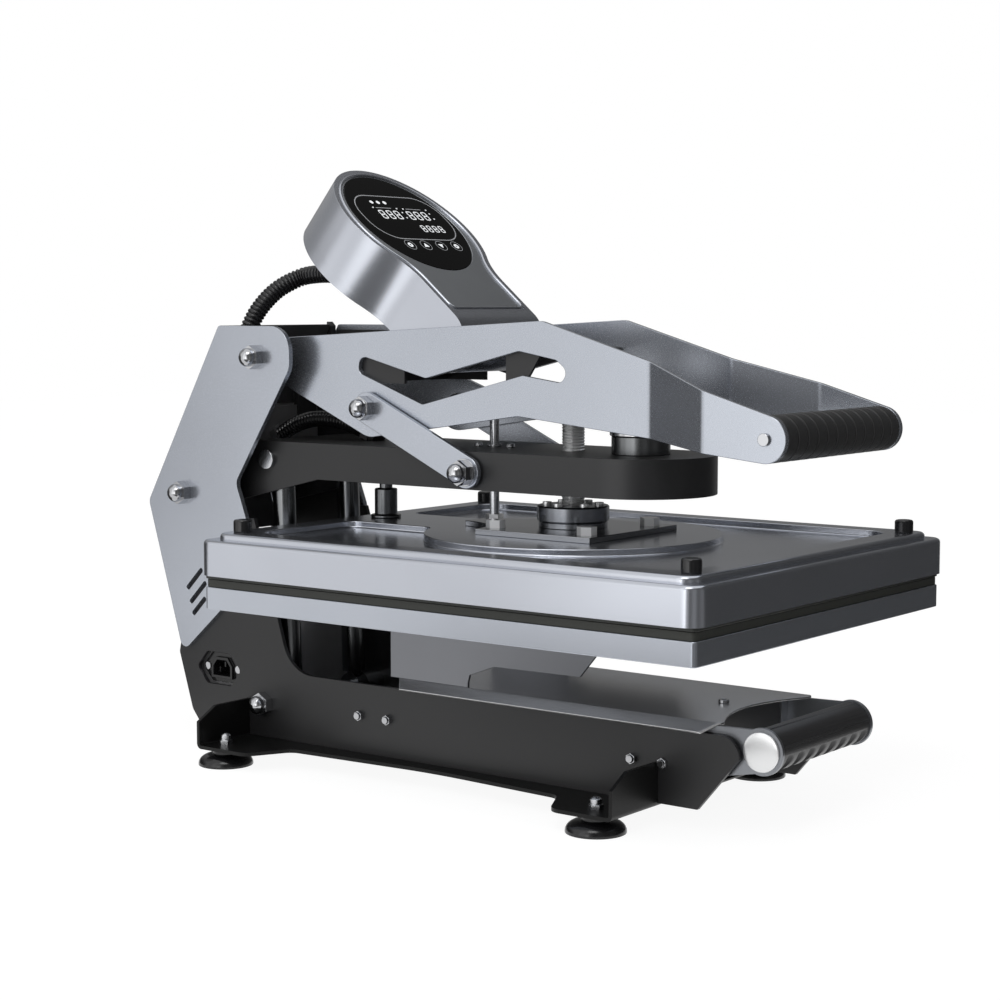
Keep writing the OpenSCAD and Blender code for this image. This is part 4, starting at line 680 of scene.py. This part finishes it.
def route_points(route, step):
    """Points a step apart along the smooth curve through a route, and the curve's length."""
    ends = [tuple(2 * p - q for p, q in zip(route[0], route[1]))]
    tail = [tuple(2 * p - q for p, q in zip(route[-1], route[-2]))]
    knots = [Vector(p) for p in ends + list(route) + tail]
    fine = []
    for k in range(1, len(knots) - 2):
        spans = range(CURVE_STEPS)
        fine += [curve_point(*knots[k - 1 : k + 3], i / CURVE_STEPS) for i in spans]
    fine.append(knots[-2])
    length = sum((q - p).length for p, q in zip(fine, fine[1:]))
    count = max(2, round(length / step))
    out, target, gone = [fine[0]], length / count, 0.0
    for p, q in zip(fine, fine[1:]):
        span = (q - p).length
        while gone + span >= target * len(out) and len(out) < count:
            out.append(p.lerp(q, (target * len(out) - gone) / span))
        gone += span
    out.append(fine[-1])
    return out, length


def hose(name, node, route, outer_r):
    """A corrugated hose along its route, between the frame and the body it feeds."""
    points, length = route_points(route, RIB_PITCH / RIB_STEPS)
    rows = []
    side = Vector((1, 0, 0))
    for i, p in enumerate(points):
        ahead = points[min(i + 1, len(points) - 1)] - points[max(i - 1, 0)]
        ahead.normalize()
        side = (side - ahead * side.dot(ahead)).normalized()
        up = ahead.cross(side)
        wave = 0.5 + 0.5 * math.cos(2 * math.pi * i / RIB_STEPS)
        r = outer_r - RIB_DEPTH * wave**2
        turn = [2 * math.pi * j / HOSE_SIDES for j in range(HOSE_SIDES)]
        rows.append([(p + (side * math.cos(a) + up * math.sin(a)) * r) * MM for a in turn])
    mesh = grid_mesh(name, rows)
    set_shading(mesh, HOSE_SHARP_DEG)
    piece = add_piece(name, mesh, "hose_rubber")
    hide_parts(node)
    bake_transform(piece)
    return piece, [p * MM for p in points], length * MM


for node, route, body, outer_r in HOSES:
    piece, path, length = hose(node + "_ribbed", node, route, outer_r)

# Folded tabs of the rear cover and the wiring box -----------------------------------------------

TABS = {  # the outline in reach and height, and the range along X
    "cover_tab_upper": (
        [(346.0, 384.0), (352.0, 384.0), (352.0, 402.5), (350.0, 402.5), (346.0, 398.5)],
        (74.0, 81.0),
    ),
    "wiring_box_tab": (
        [(350.0, 312.0), (356.0, 312.0), (356.0, 336.0), (354.0, 336.0), (350.0, 332.0)],
        (30.0, 56.0),
    ),
}
TAB_EDGE = 0.4


def folded_tab(name, outline, ends):
    """A piece of the frame's black sheet, with softened edges."""
    verts = [at(x, r, z) for x in ends for r, z in outline]
    n = len(outline)
    faces = [tuple(range(n)), tuple(range(2 * n - 1, n - 1, -1))]
    faces += [(i, n + i, n + (i + 1) % n, (i + 1) % n) for i in range(n)]
    mesh = mesh_of(name, verts, faces)
    set_shading(mesh, SHARP_DEG)
    soften(add_piece(name, mesh, "black_paint", "frame"), TAB_EDGE)


for name, (line, ends) in TABS.items():
    folded_tab(name, line, ends)

# Control head: rim and trim ---------------------------------------------------------------------

TILT = math.radians(40.0)
FACE_ORIGIN = Vector((0, PLATEN_Y + 85.0, 411.0))
HEAD_R, HEAD_RISE, STEM_HALF, BLEND_R = 81.0, 124.0, 58.0, 60.0
RIM_EDGE, RIM_SEGMENTS, RIM_DEG = 2.2, 4, 60.0
FACE_SLACK, OUTLINE_SLACK = 0.05, 1.0
WALL_NORMAL_AXIS = 0.04  # a side wall's normal has less than this out of the face
WALL_CREASE_DEG, CREASE_DEG = 4.0, 40.0
TRIM_INSET, TRIM_R, TRIM_OUT, TRIM_SIDES, TRIM_SHARP_DEG = 6.6, 1.5, -0.5, 10, 60.0
FOOT_V, FOOT_R = 9.0, 7.0  # where the trim closes at the stem's foot, and its corners there
OUTLINE_POINTS = 36  # of each half of the head's outline


def on_face(u, v, w=0.0):
    """A point of the tilted head: across, up its slope and out of its face, in millimetres."""
    c, s = math.cos(TILT), math.sin(TILT)
    return (FACE_ORIGIN + Vector((u, v * c - w * s, v * s + w * c))) * MM


def off_face(p):
    """The same coordinates of a point in metres."""
    c, s = math.cos(TILT), math.sin(TILT)
    q = Vector(p) / MM - FACE_ORIGIN
    return q.x, q.y * c + q.z * s, -q.y * s + q.z * c


def outline_half(v):
    """Half the head's width at a height up its slope."""
    gap = STEM_HALF + BLEND_R
    low = HEAD_RISE - math.sqrt((HEAD_R + BLEND_R) ** 2 - gap**2)
    if v <= low:
        return STEM_HALF
    touch = low + (HEAD_RISE - low) * BLEND_R / (HEAD_R + BLEND_R)
    if v <= touch:
        return gap - math.sqrt(max(0.0, BLEND_R**2 - (v - low) ** 2))
    return math.sqrt(max(0.0, HEAD_R**2 - (v - HEAD_RISE) ** 2))


def is_outer(e):
    """Whether an edge of the face's plane lies on the head's outline."""
    for vert in e.verts:
        u, v, _ = off_face(vert.co)
        if v > HEAD_RISE:
            reach = abs(math.hypot(u, v - HEAD_RISE) - HEAD_R)
        else:
            reach = abs(abs(u) - outline_half(v))
        if reach > OUTLINE_SLACK and v > OUTLINE_SLACK:
            return False
    return True


def round_rim(work):
    """Rounds the outer edge of the head's open face."""
    rim = []
    for e in work.edges:
        if any(abs(off_face(v.co)[2]) > FACE_SLACK for v in e.verts):
            continue
        normals = [f.normal for f in e.link_faces]
        if len(normals) == 2 and normals[0].angle(normals[1]) > math.radians(RIM_DEG):
            rim.append(e)
    bmesh.ops.bevel(
        work,
        geom=[e for e in rim if is_outer(e)],
        offset=RIM_EDGE * MM,
        segments=RIM_SEGMENTS,
        profile=0.5,
        affect="EDGES",
        clamp_overlap=True,
    )


def crease_head(work):
    """Keeps the head's side walls and its back smooth, with a crease where they meet."""
    axis = Vector((0, -math.sin(TILT), math.cos(TILT)))
    work.normal_update()
    for f in work.faces:
        f.smooth = True
    for e in work.edges:
        if len(e.link_faces) != 2:
            continue
        a, b = (f.normal for f in e.link_faces)
        walls = [abs(n.dot(axis)) < WALL_NORMAL_AXIS for n in (a, b)]
        limit = WALL_CREASE_DEG if walls[0] != walls[1] else CREASE_DEG
        e.smooth = a.angle(b, 0.0) < math.radians(limit)


def outline(inset, low):
    """The head's outline from the left end of its stem, over its top, to the right end."""
    half, arc = [], []
    n = OUTLINE_POINTS
    for i in range(n + 1):
        v = low + (HEAD_RISE - low) * i / n
        half.append((-outline_half(v) + inset, v))
    r = HEAD_R - inset
    for i in range(1, n):
        a = math.pi - math.pi * i / n
        arc.append((r * math.cos(a), HEAD_RISE + r * math.sin(a)))
    return half + arc + [(-u, v) for u, v in reversed(half)]


def closed_outline(inset):
    """The head's outline, closed above the stem's foot by a line with round corners."""
    half = STEM_HALF - inset
    v = FOOT_V + FOOT_R
    right = [
        (half - FOOT_R + FOOT_R * math.cos(a), v - FOOT_R * math.sin(a)) for a in QUARTER[1:-1]
    ]
    bottom = [(half - FOOT_R, FOOT_V), (-half + FOOT_R, FOOT_V)]
    return outline(inset, v) + right + bottom + [(-u, v) for u, v in reversed(right)]


def make_trim():
    """A thin half-sunk bead along the head's outline, inside its rim."""
    line = closed_outline(TRIM_INSET)
    rows = []
    for i, (u, v) in enumerate(line):
        u0, v0 = line[i - 1]
        u1, v1 = line[(i + 1) % len(line)]
        along = Vector((u1 - u0, v1 - v0)).normalized()
        across = Vector((along.y, -along.x))
        row = []
        for side, out in circle(TRIM_R, TRIM_SIDES):
            row.append(on_face(u + across.x * side, v + across.y * side, TRIM_OUT + out))
        rows.append(row)
    mesh = grid_mesh("head_trim", rows + rows[:1], close=False)
    set_shading(mesh, TRIM_SHARP_DEG)
    add_piece("head_trim", mesh, "silver_head", BODY_OF["head_shell"])


back = joined("head_back")
crease_head(back)
dress("head_back", "silver_head", 0.0, work=back, sharp=None)
shell = joined("head_shell")
merge_flat(shell)
round_rim(shell)
crease_head(shell)
dress("head_shell", "silver_head", 0.0, work=shell, sharp=None)
make_trim()

# Display: figures, keys and lines, placed across and up the face in millimetres ------------------

MARK_OUT, MARK_T = -0.8, 0.12  # where the glass lies out of the face, and the marks' thickness
LAMPS = [(u, 158, 2.2) for u in (-26, -17, -8)]
DOTS = [(u, v, 0.9) for u in (5.2, 44.2) for v in (144.5, 137.0)]
DOTS += [(u, 150, 0.9) for u in (-31, 2, 11, 44)]
UPPER_DIGITS = [(u, 140.5, 7.0, 12.0, 1.15) for u in (-25, -14.5, -4, 14, 24.5, 35)]
LOWER_DIGITS = [(u, 121.5, 5.4, 9.4, 0.95) for u in (15, 23.5, 32, 40.5)]
KEYS, KEY_V, KEY_R, KEY_LINE = (-27.0, -5.0, 17.0, 39.0), 97.0, 6.4, 0.5
STAR_TEETH = 8
STAR_TOOTH = ((1.2, -0.39), (3.1, -0.36), (3.1, 0.36), (1.2, 0.39))  # radius and turn of a corner
ARROW_HALF_W, ARROW_FOOT, ARROW_TIP = 3.2, 2.2, 3.2
WINDOW = (58.5, 31, 27, 3, 136.5)  # half width, half height, corner and centre
WINDOW_LINE = 1.0
RULES, RULE_V, RULE_T = ((-27, -6), (15, 36)), 149.6, 0.8
SEGMENT_GAP_SHARE = 0.12
LAMP_SIDES, DOT_SIDES, KEY_SIDES = 16, 10, 28


def flat_marks(name, polygons, material):
    """Thin printed shapes that stand on the glass, each an outline in face coordinates."""
    verts, faces = [], []
    for polygon in polygons:
        n, first = len(polygon), len(verts)
        for w in (MARK_OUT, MARK_OUT + MARK_T):
            verts += [on_face(u, v, w) for u, v in polygon]
        faces.append(tuple(range(first + n, first + 2 * n)))
        faces.append(tuple(range(first + n - 1, first - 1, -1)))
        for i in range(n):
            k = (i + 1) % n
            faces.append((first + i, first + k, first + n + k, first + n + i))
    mesh = bpy.data.meshes.new(name)
    mesh.from_pydata(verts, [], faces)
    add_piece(name, mesh, material, BODY_OF["display_glass"])


def segment_digit(u, v, w, h, t):
    """The seven lit segments of a figure 8 centred at (u, v)."""
    gap = SEGMENT_GAP_SHARE * t
    x, y = w / 2 - t / 2, h / 2 - t / 2
    out = []
    for p, q in (
        ((-x, y), (x, y)), ((-x, 0), (x, 0)), ((-x, -y), (x, -y)), ((-x, 0), (-x, y)),
        ((x, 0), (x, y)), ((-x, -y), (-x, 0)), ((x, -y), (x, 0)),
    ):
        along = Vector((q[0] - p[0], q[1] - p[1]))
        along.normalize()
        n = Vector((-along.y, along.x)) * t / 2
        p, q = Vector(p) + along * gap, Vector(q) - along * gap
        tip = along * t / 2
        bar = (p, p + tip + n, q - tip + n, q, q - tip - n, p + tip - n)
        out.append([(u + k.x, v + k.y) for k in bar])
    return out


def ring_strip(line, t):
    """A closed line of that thickness, as a row of small quads."""
    out = []
    n = len(line)
    side = []
    for i in range(n):
        along = Vector(line[(i + 1) % n]) - Vector(line[i - 1])
        along.normalize()
        side.append(Vector((-along.y, along.x)) * t / 2)
    for i in range(n):
        k = (i + 1) % n
        p, q = Vector(line[i]), Vector(line[k])
        out.append([tuple(x) for x in (p - side[i], q - side[k], q + side[k], p + side[i])])
    return out


def make_figures():
    lit = [circle(r, LAMP_SIDES, u, v) for u, v, r in LAMPS]
    for figure in UPPER_DIGITS + LOWER_DIGITS:
        lit += segment_digit(*figure)
    lit += [circle(r, DOT_SIDES, u, v) for u, v, r in DOTS]
    for u in (KEYS[0], KEYS[3]):
        for i in range(STAR_TEETH):
            a = 2 * math.pi / STAR_TEETH * i
            lit.append([
                (u + r * math.cos(a + turn), KEY_V + r * math.sin(a + turn))
                for r, turn in STAR_TOOTH
            ])
    for u, way in ((KEYS[1], 1), (KEYS[2], -1)):
        foot, tip = KEY_V - ARROW_FOOT * way, KEY_V + ARROW_TIP * way
        lit.append([(u - ARROW_HALF_W, foot), (u + ARROW_HALF_W, foot), (u, tip)])
    flat_marks("display_figures", lit, "digits")


def make_lines():
    lines = ring_strip(rounded_box(*WINDOW), WINDOW_LINE)
    for u in KEYS:
        lines += ring_strip(circle(KEY_R, KEY_SIDES, u, KEY_V), KEY_LINE)
    for u0, u1 in RULES:
        lines.append([
            (u0, RULE_V), (u1, RULE_V), (u1, RULE_V + RULE_T), (u0, RULE_V + RULE_T)
        ])
    flat_marks("display_lines", lines, "frame_print")


make_figures()
make_lines()

# Light and floor --------------------------------------------------------------------------------

WORLD_RAMP = {"From Min": -0.5, "From Max": 0.6, "To Min": 0.85, "To Max": 0.25}
FLOOR_HALF, FLOOR_COLOUR = 6.0, (0.9, 0.9, 0.9, 1.0)
FLOOR_WHITE, FLOOR_LIFT = 0.8, 0.12  # the shares of plain white and of added light to the eye
WHITE = (1.0, 1.0, 1.0, 1.0)


def add_node(tree, kind):
    return tree.nodes.new("ShaderNode" + kind)


def blank_material(name):
    """A material and its emptied node tree."""
    mat = bpy.data.materials.new(name)
    mat.use_nodes = True
    mat.node_tree.nodes.clear()
    return mat, mat.node_tree


def white_for(tree, share=1.0):
    """A factor that is 1, or the share, for what the camera, a mirror or a glass sees."""
    path = add_node(tree, "LightPath")
    total = path.outputs["Is Camera Ray"]
    for kind in ("Is Glossy Ray", "Is Transmission Ray"):
        most = add_node(tree, "Math")
        most.operation = "MAXIMUM"
        tree.links.new(total, most.inputs[0])
        tree.links.new(path.outputs[kind], most.inputs[1])
        total = most.outputs[0]
    part = add_node(tree, "Math")
    part.operation = "MULTIPLY"
    part.inputs[1].default_value = share
    tree.links.new(total, part.inputs[0])
    return part.outputs[0]


def make_world():
    """White to the eye and to mirrors; its light comes mostly from the left."""
    world = bpy.data.worlds.new("studio")
    bpy.context.scene.world = world
    world.use_nodes = True
    tree = world.node_tree
    tree.nodes.clear()
    coord = add_node(tree, "TexCoord")
    split = add_node(tree, "SeparateXYZ")
    tree.links.new(coord.outputs["Generated"], split.inputs[0])
    ramp = add_node(tree, "MapRange")
    ramp.interpolation_type = "SMOOTHSTEP"
    for key, value in WORLD_RAMP.items():
        ramp.inputs[key].default_value = value
    tree.links.new(split.outputs["X"], ramp.inputs["Value"])
    side = add_node(tree, "Background")
    tree.links.new(ramp.outputs["Result"], side.inputs["Strength"])
    white = add_node(tree, "Background")
    white.inputs["Color"].default_value = WHITE
    pick = add_node(tree, "MixShader")
    tree.links.new(white_for(tree), pick.inputs["Fac"])
    tree.links.new(side.outputs[0], pick.inputs[1])
    tree.links.new(white.outputs[0], pick.inputs[2])
    out = add_node(tree, "OutputWorld")
    tree.links.new(pick.outputs[0], out.inputs["Surface"])


def make_floor():
    """A pale floor that looks nearly white and keeps the object's shadow."""
    size = FLOOR_HALF
    mesh = bpy.data.meshes.new("floor")
    corners = [(-size, -size, 0), (size, -size, 0), (size, size, 0), (-size, size, 0)]
    mesh.from_pydata(corners, [], [(0, 1, 2, 3)])
    floor = linked("floor", mesh)
    mat, tree = blank_material("floor")
    plain = add_node(tree, "BsdfDiffuse")
    plain.inputs["Color"].default_value = FLOOR_COLOUR
    white = add_node(tree, "Emission")
    white.inputs["Strength"].default_value = 1.0
    pick = add_node(tree, "MixShader")
    tree.links.new(white_for(tree, FLOOR_WHITE), pick.inputs["Fac"])
    tree.links.new(plain.outputs[0], pick.inputs[1])
    tree.links.new(white.outputs[0], pick.inputs[2])
    add = add_node(tree, "AddShader")
    lift = add_node(tree, "Emission")
    tree.links.new(white_for(tree, FLOOR_LIFT), lift.inputs["Strength"])
    tree.links.new(pick.outputs[0], add.inputs[0])
    tree.links.new(lift.outputs[0], add.inputs[1])
    out = add_node(tree, "OutputMaterial")
    tree.links.new(add.outputs[0], out.inputs["Surface"])
    mesh.materials.append(mat)


# The cards' brightness by the bearing from the object, in degrees from +X towards +Y: up to the
# lower height, and from the upper height on.
CARD_TONES = [
    (-226, 1.15, 1.0), (-220, 1.15, 1.0), (-214, 1.0, 1.0), (-206, 1.0, 1.0), (-203, 1.6, 1.6),
    (-190, 1.7, 1.5), (-182, 1.7, 1.2), (-178, 1.9, 1.1), (-174, 2.4, 1.2), (-168, 2.4, 1.1),
    (-164, 0.8, 0.6), (-160, 0.45, 0.3), (-154, 0.45, 0.2), (-150, 0.15, 0.16), (-145, 0.12, 0.15),
    (-127, 0.3, 0.2), (-110, 0.11, 0.1), (-88, 0.2, 0.15), (-72, 0.06, 0.08), (-20, 0.05, 0.08),
    (0, 0.35, 0.12), (14, 0.16, 0.14), (28, 0.19, 0.24), (48, 0.22, 0.34), (62, 0.24, 0.38),
    (78, 0.12, 0.38), (92, 0.05, 0.36), (106, 0.05, 0.42), (116, 0.15, 0.8), (122, 0.28, 1.0),
    (128, 0.5, 1.0), (131, 1.0, 1.0), (134, 1.15, 1.0),
]
CARD_LOW, CARD_RISE = 0.5, 0.5  # the lower height, and from it to the upper one
CARD_R = 2.0
BEARING_STEP = 2
# Each card: rings of (radius, height, share of the tone), and the bearings of its two ends.
CARDS = {
    "card_wall": ([(CARD_R, h, 1.0) for h in (0.0, 0.3, 0.5, 0.75, 1.0, 1.8, 2.6)], -226, 134),
    "card_floor": ([(0.5, 0.002, 1.0), (CARD_R, 0.002, 1.0)], -162, 120),
    "card_floor_left": (
        [(0.3, 0.003, 0.08), (0.95, 0.003, 0.1), (1.15, 0.003, 1.0), (CARD_R, 0.003, 1.0)],
        -204, -162,
    ),
}


def tone_at(bearing, height):
    for (a, low_a, high_a), (b, low_b, high_b) in zip(CARD_TONES, CARD_TONES[1:]):
        if a <= bearing <= b:
            t = (bearing - a) / (b - a)
            low, high = low_a + (low_b - low_a) * t, high_a + (high_b - high_a) * t
            rise = min(1.0, max(0.0, (height - CARD_LOW) / CARD_RISE))
            return low + (high - low) * rise


def make_card(name, rows, start, end):
    """A glowing sheet round the object or on the floor, which only reflections show."""
    bearings = list(range(start, end + 1, BEARING_STEP))
    verts, tones, faces = [], [], []
    for r, h, share in rows:
        for b in bearings:
            a = math.radians(b)
            verts.append((r * math.cos(a), r * math.sin(a), h))
            tones.append(tone_at(b, h) * share)
    n = len(bearings)
    for i in range(len(rows) - 1):
        for j in range(n - 1):
            faces.append((i * n + j, i * n + j + 1, (i + 1) * n + j + 1, (i + 1) * n + j))
    mesh = bpy.data.meshes.new(name)
    mesh.from_pydata(verts, [], faces)
    mesh.attributes.new("tone", "FLOAT", "POINT").data.foreach_set("value", tones)
    card = linked(name, mesh)
    mat, tree = blank_material(name)
    read = add_node(tree, "Attribute")
    read.attribute_name = "tone"
    glow = add_node(tree, "Emission")
    tree.links.new(read.outputs["Fac"], glow.inputs["Strength"])
    out = add_node(tree, "OutputMaterial")
    tree.links.new(glow.outputs[0], out.inputs["Surface"])
    mesh.materials.append(mat)
    card.visible_camera = card.visible_diffuse = card.visible_shadow = False


KEY_PLACE, KEY_TARGET, KEY_SIZE, KEY_POWER = (-1.4, -0.6, 2.3), (0.0, 0.0, 0.2), 1.2, 14.0


def make_key():
    data = bpy.data.lights.new("key", "AREA")
    data.shape = "RECTANGLE"
    data.size = data.size_y = KEY_SIZE
    data.energy = KEY_POWER
    lamp = linked("key", data)
    lamp.location = KEY_PLACE
    aim = Vector(KEY_TARGET) - Vector(KEY_PLACE)
    lamp.rotation_euler = aim.to_track_quat("-Z", "Y").to_euler()


make_world()
make_floor()
for name, (rows, start, end) in CARDS.items():
    make_card(name, rows, start, end)
make_key()
bpy.context.scene.view_settings.view_transform = "Standard"
